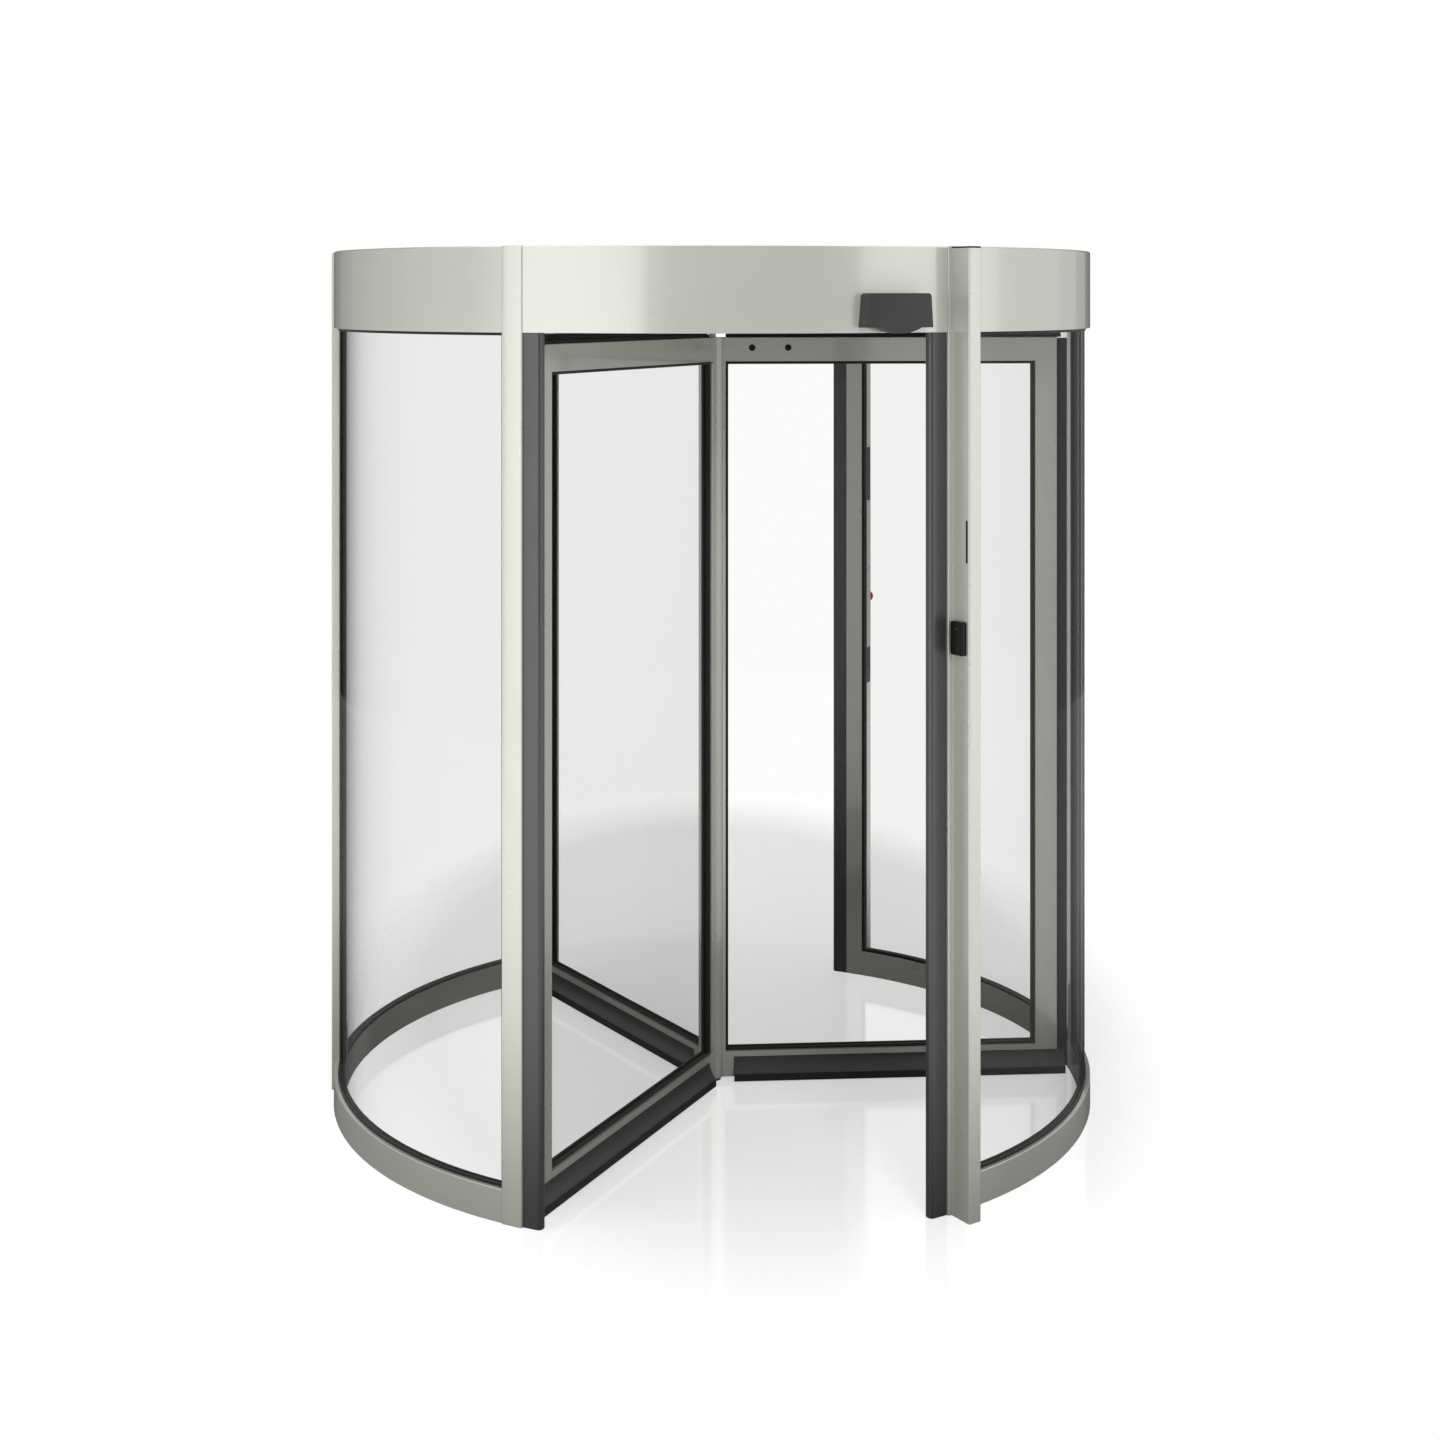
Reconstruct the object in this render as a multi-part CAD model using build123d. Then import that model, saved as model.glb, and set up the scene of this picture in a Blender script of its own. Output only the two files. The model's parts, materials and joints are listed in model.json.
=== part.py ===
from build123d import *
from math import asin, degrees, sqrt
import os

# Three-wing security revolving door, in millimetres.
# The origin is the rotor axis at floor level, +Z is up and the front is towards -Y.
# Each half of the drum has a wall centred on +X or -X, and the passage runs along Y.

# Drum
drum_radius = 1040.0
wall_depth = 30.0
passage_height = 2100.0
canopy_height = 205.0
clear_opening = 908.0

# Upright posts and rubber safety edges beside the two openings
throat_post_width = 54.5
throat_post_proud = 3.0
throat_post_rounding = 2.5
safety_edge_width = 48.0
safety_edge_setback = 3.0
safety_edge_rounding = 11.0
nose_share = 0.45

# Mid-wall posts, where the drum meets the building
wall_post_width = 30.0
wall_post_proud = 11.0
wall_post_rounding = 3.0

# Curved glazing of the walls
glass_thickness = 10.0
glass_lip = 5.0
gasket_thickness = 3.5
gasket_base = 4.0
gasket_show = 7.0
side_gasket_show = 10.0
rail_groove_depth = 12.0
fit = 0.2

# Floor kerb under the glass
kerb_outer_height = 80.0
kerb_lip_step = 3.0
kerb_bevel = 1.5

# Canopy
fascia_sheet = 4.0
fascia_bevel = 3.0
head_ring_height = 40.0
ceiling_thickness = 12.0
panel_clearance = 0.3
roof_thickness = 3.0
roof_clearance = 2.0
roof_lap = 12.0

# Posts that carry the card reader and the emergency button
device_post_depth = 64.0
device_post_width = 37.0
device_post_drop = 5.0
device_post_rounding = 4.0
device_post_cap = 4.0
device_post_inset = 0.5

# Card reader
reader_height = 80.0
reader_width = 44.0
reader_thickness = 14.0
reader_rounding = 5.0
reader_bevel = 2.0
reader_centre_height = 1377.0

# Indicator slot beside the card reader
slot_bottom = 1557.0
slot_length = 99.0
slot_width = 4.0
slot_depth = 3.0
slot_corner_distance = 9.0

# Black operating panels on the rear device post
panel_depth = 2.0
panel_proud = 0.5
panel_inner_margin = 8.0
panel_outer_margin = 1.0
lower_panel_bottom = 930.0
lower_panel_height = 114.0
panel_spacing = 478.0
upper_panel_height = 172.0

# Emergency button on the rear device post
button_height = 1204.0
button_head_radius = 16.5
button_head_thickness = 14.0
button_head_rounding = 5.0
button_bevel_share = 0.3
button_head_gap = 10.0
button_stem_radius = 6.0
button_stem_clearance = 0.3
button_stem_depth = 6.0
button_pocket_depth = 14.0
button_collar_radius = 15.0
button_collar_thickness = 6.0

# Motion sensors on the fascia
sensor_width = 176.0
sensor_top_width = 164.0
sensor_front_width = 114.0
sensor_height = 80.0
sensor_depth = 47.0
sensor_side_depth = 38.0
sensor_root = 12.0
sensor_lift = 13.0
sensor_top_rounding = 9.0
sensor_belly_width = 104.0
sensor_belly_drop = 14.0
sensor_belly_setback = 8.0
sensor_offset = 362.0

# Rotor column and its bearings
column_radius = 35.0
column_wall = 6.0
column_plug = 20.0
rotor_floor_gap = 12.0
shaft_radius = 10.0
shaft_clearance = 0.3
bearing_radius = 60.0
bearing_height = 24.0
ceiling_hole_radius = 30.0
pivot_radius = 8.0
pivot_plate_radius = 24.0
pivot_plate_thickness = 4.0

# Rotor wings
wing_count = 3
wing_thickness = 44.0
wing_edge_chamfer = 1.5
stile_width = 62.0
column_gasket_gap = 1.0
top_rail_height = 67.0
bottom_rail_height = 70.0
wing_head_gap = 29.0
wing_glass_thickness = 8.0
wing_gasket_show = 8.0
wing_gasket_thickness = 9.0
wing_gasket_lap = 5.0

# Rubber seals round each wing
edge_seal_reach = 33.0
edge_seal_clearance = 6.0
edge_seal_base = 9.0
edge_seal_base_width = 32.0
edge_seal_lip_width = 12.0
edge_seal_tip_width = 6.0
edge_seal_floor_gap = 14.0
edge_seal_top_gap = 3.0
top_seal_clearance = 5.0
top_seal_column_gap = 3.0
top_seal_overhang = 14.0
top_seal_holder_width = 22.0
top_seal_holder_height = 8.0
top_seal_brush_width = 10.0

# Floor skirts on both faces of each wing
skirt_column_gap = 24.0
skirt_overhang = 20.0
skirt_rail_show = 14.0
skirt_lip_top = 25.0
skirt_lip_step = 2.0
skirt_width = 20.0
skirt_lip_thickness = 4.0
skirt_floor_gap = 5.0

# Round black plugs on the top rail
plug_radius = 9.25
plug_proud = 2.5
plug_drop = 29.0
plug_count = 2
first_plug_distance = 110.0
plug_spacing = 101.0

# Turns, in degrees
quarter_turn = 90.0
half_turn = 180.0
full_turn = 360.0

# Sizes that follow from those above
wall_inner_radius = drum_radius - wall_depth
wall_middle_radius = drum_radius - wall_depth / 2
canopy_top = passage_height + canopy_height
nose_angle = degrees(asin(clear_opening / 2 / wall_middle_radius))
edge_angle = nose_angle + degrees(safety_edge_width / wall_middle_radius)
post_angle = edge_angle + degrees(throat_post_width / wall_middle_radius)
wall_end = quarter_turn - post_angle
post_end = quarter_turn - edge_angle
edge_end = quarter_turn - nose_angle
glass_inner_radius = wall_inner_radius + glass_lip
glass_outer_radius = glass_inner_radius + glass_thickness
gasket_outer_radius = glass_outer_radius + gasket_thickness
gasket_inner_radius = glass_inner_radius - gasket_thickness
kerb_inner_height = kerb_outer_height - kerb_lip_step
kerb_groove_floor = kerb_outer_height - rail_groove_depth
head_groove_top = passage_height + rail_groove_depth
fascia_inner_radius = drum_radius - fascia_sheet
roof_radius = wall_inner_radius - roof_clearance
post_outer_radius = drum_radius + throat_post_proud
device_post_angle = (wall_end + post_end) / 2
device_post_outer = post_outer_radius + device_post_depth
device_post_height = canopy_top - device_post_drop
lower_panel_top = lower_panel_bottom + lower_panel_height
upper_panel_bottom = lower_panel_top + panel_spacing
upper_panel_top = upper_panel_bottom + upper_panel_height
sensor_bottom = passage_height + sensor_lift
shaft_top = passage_height + ceiling_thickness + bearing_height
half_wing = wing_thickness / 2
wing_top = passage_height - wing_head_gap
wing_tip = wall_inner_radius - edge_seal_clearance - edge_seal_reach
inner_stile_edge = column_radius + column_gasket_gap
window_bottom = rotor_floor_gap + bottom_rail_height
window_top = wing_top - top_rail_height
window_end = wing_tip - stile_width
top_seal_start = column_radius + top_seal_column_gap
top_seal_end = wing_tip + top_seal_overhang
skirt_start = column_radius + skirt_column_gap
skirt_end = wing_tip + skirt_overhang
skirt_top = window_bottom - skirt_rail_show
skirt_reach = half_wing + skirt_width


def ring_sector(inner, outer, bottom, top, start, end):
    """Piece of a ring between two radii, two heights and two bearings in degrees."""
    section = Pos((inner + outer) / 2, (bottom + top) / 2) * Rectangle(outer - inner, top - bottom)
    return turned_section(section, start, end)


def turned_section(section, start, end):
    """Turn a section, drawn as radius and height, about the rotor axis."""
    return Rot(0, 0, start) * revolve(Plane.XZ * section, Axis.Z, end - start)


def outline(*points):
    """Flat face inside a closed outline."""
    return make_face(Polyline(*points, close=True))


def block(x_range, y_range, z_range):
    """Box between two values along each axis."""
    ranges = (x_range, y_range, z_range)
    sizes = [high - low for low, high in ranges]
    middles = [(high + low) / 2 for low, high in ranges]
    return Pos(*middles) * Box(*sizes)


def four_quarters(piece):
    """Copies of a rear right piece in the four quarters of the drum."""
    front = mirror(piece, about=Plane.XZ)
    return {
        "front_left": mirror(front, about=Plane.YZ),
        "front_right": front,
        "rear_left": mirror(piece, about=Plane.YZ),
        "rear_right": piece,
    }


def wall_post_bar(outer_radius):
    """Bar of the mid-wall post's width on the +X axis, from the drum's inside out."""
    half = wall_post_width / 2
    return block((wall_inner_radius, outer_radius), (-half, half), (0, canopy_top))


def wall_post():
    """Full-height post at the middle of a wall."""
    bar = wall_post_bar(drum_radius + wall_post_proud)
    corners = bar.edges().filter_by(Axis.Z).group_by(Axis.X)[-1]
    return fillet(corners, wall_post_rounding)


def beside_wall_post(piece):
    """Trim a piece of the rear right quarter flush with the side of the wall post."""
    reach = drum_radius + wall_post_proud
    half = wall_post_width / 2
    return piece - block((0, reach), (-half, half), (-canopy_top, canopy_top + canopy_height))


def throat_post():
    """Full-height post beside an opening."""
    post = ring_sector(wall_inner_radius, post_outer_radius, 0, canopy_top, wall_end, post_end)
    corners = [edge for edge in post.edges().filter_by(Axis.Z) if on_radius(edge, post_outer_radius)]
    return fillet(corners, throat_post_rounding)


def on_radius(edge, radius):
    """True where an upright edge stands at this distance from the rotor axis."""
    middle = edge.center()
    return abs(sqrt(middle.X**2 + middle.Y**2) - radius) < fit


def safety_edge():
    """Rubber edge with a rounded nose towards the opening."""
    inner = wall_inner_radius + fit
    outer = drum_radius - safety_edge_setback
    edge = ring_sector(inner, outer, 0, passage_height, post_end, edge_end)
    nose = edge.edges().filter_by(Axis.Z).group_by(Axis.X)
    return fillet(nose[0] + nose[1], min(safety_edge_rounding, (outer - inner) * nose_share))


def kerb():
    """Floor kerb with a groove in its top for the glass and a bevelled outer lip."""
    outer_lip = gasket_outer_radius
    inner_lip = gasket_inner_radius
    section = outline(
        (wall_inner_radius, 0),
        (drum_radius, 0),
        (drum_radius, kerb_outer_height - kerb_bevel),
        (drum_radius - kerb_bevel, kerb_outer_height),
        (outer_lip, kerb_outer_height),
        (outer_lip, kerb_groove_floor),
        (inner_lip, kerb_groove_floor),
        (inner_lip, kerb_inner_height),
        (wall_inner_radius, kerb_inner_height),
    )
    return beside_wall_post(turned_section(section, 0, wall_end))


def head_ring_over_wall():
    """Head ring with a groove in its underside for the glass."""
    outer = fascia_inner_radius - fit
    head_top = passage_height + head_ring_height
    section = outline(
        (wall_inner_radius, passage_height),
        (gasket_inner_radius, passage_height),
        (gasket_inner_radius, head_groove_top),
        (gasket_outer_radius, head_groove_top),
        (gasket_outer_radius, passage_height),
        (outer, passage_height),
        (outer, head_top),
        (wall_inner_radius, head_top),
    )
    return beside_wall_post(turned_section(section, 0, wall_end))


def head_ring_over_opening():
    """Plain head ring between the two throat posts of the rear opening."""
    outer = fascia_inner_radius - fit
    head_top = passage_height + head_ring_height
    return ring_sector(wall_inner_radius, outer, passage_height, head_top, post_end, half_turn - post_end)


def head_ring():
    """The six lengths of head ring, parted by the posts."""
    rear = head_ring_over_opening()
    lengths = list(four_quarters(head_ring_over_wall()).values())
    return Compound(children=lengths + [rear, mirror(rear, about=Plane.XZ)])


def glass_bearings(margin):
    """Bearings of a pane's two ends, set in from the posts by a margin."""
    start = degrees(asin((wall_post_width / 2 + margin) / glass_outer_radius))
    end = wall_end - degrees(margin / glass_outer_radius)
    return start, end


def wall_glass():
    """Curved pane of one wall quarter."""
    start, end = glass_bearings(gasket_base)
    bottom = kerb_groove_floor + gasket_base
    top = head_groove_top - gasket_base
    return ring_sector(glass_inner_radius, glass_outer_radius, bottom, top, start, end)


def wall_gasket():
    """Rubber frame that grips a curved pane on all four sides."""
    inner = gasket_inner_radius + fit
    outer = gasket_outer_radius - fit
    frame = beside_wall_post(ring_sector(inner, outer, kerb_groove_floor, head_groove_top, 0, wall_end))
    start, end = glass_bearings(side_gasket_show)
    bottom = kerb_outer_height + gasket_show
    top = passage_height - gasket_show
    frame -= ring_sector(wall_inner_radius, drum_radius, bottom, top, start, end)
    start, end = glass_bearings(gasket_base)
    bottom = kerb_groove_floor + gasket_base
    top = head_groove_top - gasket_base
    return frame - ring_sector(glass_inner_radius - fit, glass_outer_radius + fit, bottom, top, start, end)


def fascia_section():
    """Upright sheet with a flange turned in at the top."""
    flange_edge = roof_radius - roof_lap
    flange_bottom = canopy_top - fascia_sheet
    section = outline(
        (fascia_inner_radius, passage_height),
        (drum_radius, passage_height),
        (drum_radius, canopy_top),
        (flange_edge, canopy_top),
        (flange_edge, flange_bottom),
        (fascia_inner_radius, flange_bottom),
    )
    top_corner = section.vertices().sort_by(lambda vertex: vertex.X + vertex.Y)[-1]
    return chamfer(top_corner, fascia_bevel)


def fascia_over_wall():
    """Fascia of one wall quarter, between its two posts."""
    return beside_wall_post(turned_section(fascia_section(), 0, wall_end))


def fascia_over_opening():
    """Fascia over the rear opening, between its throat posts."""
    return turned_section(fascia_section(), post_end, half_turn - post_end)


def ceiling():
    """Round ceiling panel with a hole for the rotor shaft."""
    radius = wall_inner_radius - panel_clearance
    panel = extrude(Circle(radius) - Circle(ceiling_hole_radius), ceiling_thickness)
    return Pos(0, 0, passage_height) * panel


def roof():
    """Dust cover under the fascia flanges."""
    height = canopy_top - fascia_sheet - roof_thickness
    return Pos(0, 0, height) * extrude(Circle(roof_radius), roof_thickness)


def at_device_post(piece):
    """Turn a piece drawn beside the +X axis to the rear right device post."""
    return Rot(0, 0, device_post_angle) * piece


def device_post_bar():
    """Bar of a device post, drawn on the +X axis."""
    half = device_post_width / 2
    bar = block((post_outer_radius, device_post_outer), (-half, half), (0, device_post_height))
    corners = bar.edges().filter_by(Axis.Z).group_by(Axis.X)[-1]
    return fillet(corners, device_post_rounding)


def device_post_cap_plate():
    """Plastic cap on top of a device post, drawn on the +X axis."""
    half = device_post_width / 2 - device_post_inset
    x_range = (post_outer_radius + device_post_inset, device_post_outer - device_post_inset)
    z_range = (device_post_height, device_post_height + device_post_cap)
    return block(x_range, (-half, half), z_range)


def slot_space(depth):
    """Space of the indicator slot, to a depth behind the side face towards the opening."""
    face = device_post_width / 2
    middle = device_post_outer - slot_corner_distance
    x_range = (middle - slot_width / 2, middle + slot_width / 2)
    return block(x_range, (face - depth, face), (slot_bottom, slot_bottom + slot_length))


def panel_heights():
    """Lower and upper ends of the two operating panels."""
    return [(lower_panel_bottom, lower_panel_top), (upper_panel_bottom, upper_panel_top)]


def panel_space(heights, low, high):
    """Space of an operating panel, between two depths at the side face towards the wall."""
    face = -device_post_width / 2
    inner = post_outer_radius + panel_inner_margin
    outer = device_post_outer - device_post_rounding - panel_outer_margin
    return block((inner, outer), (face + low, face + high), heights)


def button_axis(piece):
    """Lay a piece drawn on the Z axis along the button's axis on the outer face."""
    return Pos(device_post_outer, 0, button_height) * Rot(0, quarter_turn, 0) * piece


def front_device_post():
    """Device post beside the front opening, with the indicator slot cut into it."""
    return mirror(at_device_post(device_post_bar() - slot_space(slot_depth)), about=Plane.XZ)


def rear_device_post():
    """Device post beside the rear opening, cut for its panels and button."""
    bar = device_post_bar()
    for heights in panel_heights():
        bar -= panel_space(heights, 0, panel_depth)
    pocket_radius = button_stem_radius + button_stem_clearance
    pocket = extrude(Circle(pocket_radius), -button_pocket_depth)
    return at_device_post(bar - button_axis(pocket))


def device_post_caps():
    """Caps of both device posts."""
    cap = at_device_post(device_post_cap_plate())
    return Compound(children=[cap, mirror(cap, about=Plane.XZ)])


def card_reader():
    """Card reader on the opening side of the front device post."""
    face = device_post_width / 2
    middle = post_outer_radius + device_post_depth / 2
    x_range = (middle - reader_width / 2, middle + reader_width / 2)
    low = reader_centre_height - reader_height / 2
    case = block(x_range, (face, face + reader_thickness), (low, low + reader_height))
    case = fillet(case.edges().filter_by(Axis.Y), reader_rounding)
    case = chamfer(case.faces().sort_by(Axis.Y)[-1].edges(), reader_bevel)
    return mirror(at_device_post(case), about=Plane.XZ)


def black_panels():
    """Slot window of the front post and operating panels of the rear post."""
    window = mirror(at_device_post(slot_space(slot_depth)), about=Plane.XZ)
    plates = [at_device_post(panel_space(heights, -panel_proud, panel_depth)) for heights in panel_heights()]
    return Compound(children=[window] + plates)


def emergency_collar():
    """Ring that guides the stem of the emergency button."""
    bore = button_stem_radius + button_stem_clearance
    ring = extrude(Circle(button_collar_radius) - Circle(bore), button_collar_thickness)
    return at_device_post(button_axis(ring))


def emergency_button():
    """Mushroom head and stem of the emergency button."""
    head_bottom = button_collar_thickness + button_head_gap
    head_top = head_bottom + button_head_thickness
    bevel = button_head_rounding * button_bevel_share
    section = outline(
        (0, -button_stem_depth),
        (button_stem_radius, -button_stem_depth),
        (button_stem_radius, head_bottom),
        (button_head_radius, head_bottom),
        (button_head_radius, head_top - button_head_rounding),
        (button_head_radius - bevel, head_top - bevel),
        (button_head_radius - button_head_rounding, head_top),
        (0, head_top),
    )
    return at_device_post(button_axis(turned_section(section, 0, full_turn)))


def sensor_front_view():
    """Front outline of a sensor housing, narrower at the top, with rounded top corners."""
    half = sensor_width / 2
    top_half = sensor_top_width / 2
    face = outline((-half, 0), (half, 0), (top_half, sensor_height), (-top_half, sensor_height))
    return fillet(face.vertices().group_by(Axis.Y)[-1], sensor_top_rounding)


def sensor_belly_view():
    """Front outline of the rounded belly under a sensor housing."""
    half = sensor_belly_width / 2
    arc = ThreePointArc((-half, 0), (0, -sensor_belly_drop), (half, 0))
    return make_face([arc, Line((half, 0), (-half, 0))])


def motion_sensor():
    """Faceted sensor housing on the fascia over the front opening."""
    root = drum_radius - sensor_root
    belly_back = drum_radius + sensor_belly_setback
    side = drum_radius + sensor_side_depth
    front = drum_radius + sensor_depth
    half = sensor_width / 2 + fit
    front_half = sensor_front_width / 2
    body = Pos(root, 0, 0) * extrude(Plane.YZ * sensor_front_view(), front - root)
    belly = Pos(belly_back, 0, 0) * extrude(Plane.YZ * sensor_belly_view(), front - belly_back)
    plan = outline(
        (root, -half),
        (side, -half),
        (front, -front_half),
        (front, front_half),
        (side, half),
        (root, half),
    )
    facets = Pos(0, 0, -sensor_belly_drop) * extrude(plan, sensor_belly_drop + sensor_height)
    housing = Pos(0, 0, sensor_bottom) * ((body + belly) & facets)
    housing -= Pos(0, 0, passage_height) * extrude(Circle(drum_radius + fit), canopy_height)
    bearing = degrees(asin(sensor_offset / drum_radius)) - quarter_turn
    return Rot(0, 0, bearing) * housing


def motion_sensors():
    """Sensor over the front opening and its mirror image over the rear one."""
    front = motion_sensor()
    return Compound(children=[front, mirror(front, about=Plane.XZ)])


def rotor_bearings():
    """Floor pivot and the ceiling bearing that guide the rotor."""
    plate = extrude(Circle(pivot_plate_radius), pivot_plate_thickness)
    pin = extrude(Circle(pivot_radius), rotor_floor_gap + column_plug)
    ring = extrude(Circle(bearing_radius) - Circle(shaft_radius + shaft_clearance), bearing_height)
    bearing = Pos(0, 0, passage_height + ceiling_thickness) * ring
    return Compound(children=[plate + pin, bearing])


def rotor_column():
    """Hollow column with a bored foot, a solid head and the shaft above it."""
    inner = column_radius - column_wall
    bore = pivot_radius + shaft_clearance
    foot_top = rotor_floor_gap + column_plug
    head_bottom = wing_top - column_plug
    section = outline(
        (bore, rotor_floor_gap),
        (column_radius, rotor_floor_gap),
        (column_radius, wing_top),
        (shaft_radius, wing_top),
        (shaft_radius, shaft_top),
        (0, shaft_top),
        (0, head_bottom),
        (inner, head_bottom),
        (inner, foot_top),
        (bore, foot_top),
    )
    return turned_section(section, 0, full_turn)


def wing_frame():
    """Rails and stiles of one wing, drawn along +X, with a window for the glass."""
    frame = block((0, wing_tip), (-half_wing, half_wing), (rotor_floor_gap, wing_top))
    rims = frame.edges().filter_by(Axis.X) + frame.edges().filter_by(Axis.Z).group_by(Axis.X)[-1]
    frame = chamfer(rims, wing_edge_chamfer)
    window = block((inner_stile_edge, window_end), (-half_wing, half_wing), (window_bottom, window_top))
    clearance = extrude(Circle(column_radius + fit), wing_top + top_rail_height)
    return frame - window - clearance


def wing_glass():
    """Pane of one wing, held in the gasket on all four sides."""
    inset = wing_gasket_show - wing_gasket_lap
    half = wing_glass_thickness / 2
    x_range = (inner_stile_edge + inset, window_end - inset)
    return block(x_range, (-half, half), (window_bottom + inset, window_top - inset))


def wing_gasket():
    """Rubber frame round the pane, set back from both faces of the wing."""
    half = wing_glass_thickness / 2 + wing_gasket_thickness
    outer = block((inner_stile_edge, window_end), (-half, half), (window_bottom, window_top))
    show = wing_gasket_show
    x_range = (inner_stile_edge + show, window_end - show)
    opening = block(x_range, (-half, half), (window_bottom + show, window_top - show))
    return outer - opening - wing_glass()


def wing_edge_seals():
    """Seal lip on the outer stile and brush seal on the top rail."""
    base = edge_seal_base_width / 2
    lip = edge_seal_lip_width / 2
    tip = edge_seal_tip_width / 2
    lip_start = wing_tip + edge_seal_base
    lip_end = wing_tip + edge_seal_reach
    section = outline(
        (wing_tip, -base),
        (lip_start, -lip),
        (lip_end, -tip),
        (lip_end, tip),
        (lip_start, lip),
        (wing_tip, base),
    )
    side_height = wing_top - edge_seal_top_gap - edge_seal_floor_gap
    side = Pos(0, 0, edge_seal_floor_gap) * extrude(section, side_height)
    holder = top_seal_holder_width / 2
    brush = top_seal_brush_width / 2
    holder_top = wing_top + top_seal_holder_height
    brush_top = passage_height - top_seal_clearance
    profile = outline(
        (-holder, wing_top),
        (holder, wing_top),
        (holder, holder_top),
        (brush, holder_top),
        (brush, brush_top),
        (-brush, brush_top),
        (-brush, holder_top),
        (-holder, holder_top),
    )
    top = Pos(top_seal_start, 0, 0) * extrude(Plane.YZ * profile, top_seal_end - top_seal_start)
    return Compound(children=[side, top])


def floor_skirt():
    """Concave floor skirt with an upright lip, on the +Y face of a wing drawn along +X."""
    lip_back = skirt_reach - skirt_lip_thickness
    shoulder = (skirt_reach - skirt_lip_step, skirt_lip_top)
    edges = [
        TangentArc((half_wing, skirt_top), shoulder, tangent=(0, -1)),
        Polyline(
            shoulder,
            (skirt_reach, skirt_lip_top),
            (skirt_reach, skirt_floor_gap),
            (lip_back, skirt_floor_gap),
            (lip_back, skirt_lip_top - skirt_lip_thickness),
            (half_wing, skirt_lip_top - skirt_lip_thickness),
            (half_wing, skirt_top),
        ),
    ]
    section = make_face(edges)
    return Pos(skirt_start, 0, 0) * extrude(Plane.YZ * section, skirt_end - skirt_start)


def wing_floor_skirts():
    """Floor skirts on both faces of a wing."""
    skirt = floor_skirt()
    return Compound(children=[skirt, mirror(skirt, about=Plane.XZ)])


def rail_plugs():
    """Round plugs on the -Y face of a wing's top rail."""
    plug = Rot(quarter_turn, 0, 0) * extrude(Circle(plug_radius), plug_proud)
    height = wing_top - plug_drop
    return [Pos(first_plug_distance + place * plug_spacing, -half_wing, height) * plug
            for place in range(plug_count)]


def on_each_wing(piece):
    """Copies of a piece drawn along +X, one on each wing."""
    return [Rot(0, 0, wing * full_turn / wing_count) * piece for wing in range(wing_count)]


def drum_pieces():
    """Named pieces of the drum, and the button that it carries."""
    pieces = {
        "ceiling": ceiling(),
        "canopy_roof": roof(),
        "head_ring": head_ring(),
        "device_post_front": front_device_post(),
        "device_post_rear": rear_device_post(),
        "device_post_caps": device_post_caps(),
        "card_reader": card_reader(),
        "black_panels": black_panels(),
        "emergency_collar": emergency_collar(),
        "emergency_button": emergency_button(),
        "motion_sensors": motion_sensors(),
        "rotor_bearings": rotor_bearings(),
        "wall_post_right": wall_post(),
        "wall_post_left": mirror(wall_post(), about=Plane.YZ),
        "wall_gaskets": Compound(children=list(four_quarters(wall_gasket()).values())),
        "fascia_rear": fascia_over_opening(),
        "fascia_front": mirror(fascia_over_opening(), about=Plane.XZ),
    }
    for name, maker in (("kerb", kerb), ("wall_glass", wall_glass), ("fascia", fascia_over_wall)):
        quarters = four_quarters(maker())
        for side in ("left", "right"):
            pair = [quarters["front_" + side], quarters["rear_" + side]]
            pieces[name + "_" + side] = Compound(children=pair)
    for name, maker in (("throat_post", throat_post), ("safety_edge", safety_edge)):
        for quarter, piece in four_quarters(maker()).items():
            pieces[name + "_" + quarter] = piece
    return pieces


def rotor_pieces():
    """Named pieces that turn with the rotor."""
    pieces = {"rotor_column": rotor_column()}
    makers = {
        "frame": wing_frame,
        "glass": wing_glass,
        "edge_seals": wing_edge_seals,
        "floor_skirts": wing_floor_skirts,
    }
    for name, maker in makers.items():
        for letter, piece in zip("abc", on_each_wing(maker())):
            pieces["wing_" + letter + "_" + name] = piece
    pieces["wing_gaskets"] = Compound(children=on_each_wing(wing_gasket()))
    plugs = [copy for plug in rail_plugs() for copy in on_each_wing(plug)]
    pieces["rail_plugs"] = Compound(children=plugs)
    return pieces


os.makedirs("parts", exist_ok=True)
for node, shape in {**drum_pieces(), **rotor_pieces()}.items():
    export_step(shape, os.path.join("parts", node + ".step"))
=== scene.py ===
"""Looks of a three-wing security revolving door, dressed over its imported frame.

All lengths are in metres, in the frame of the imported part: the origin is the rotor axis at floor level,
+Z is up and the front entrance faces -Y.
"""
import json
import logging
import math
import random
from dataclasses import dataclass
from enum import Enum
from typing import Iterable, Mapping, Sequence

import bmesh
import bpy
from mathutils import Matrix, Vector


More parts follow.
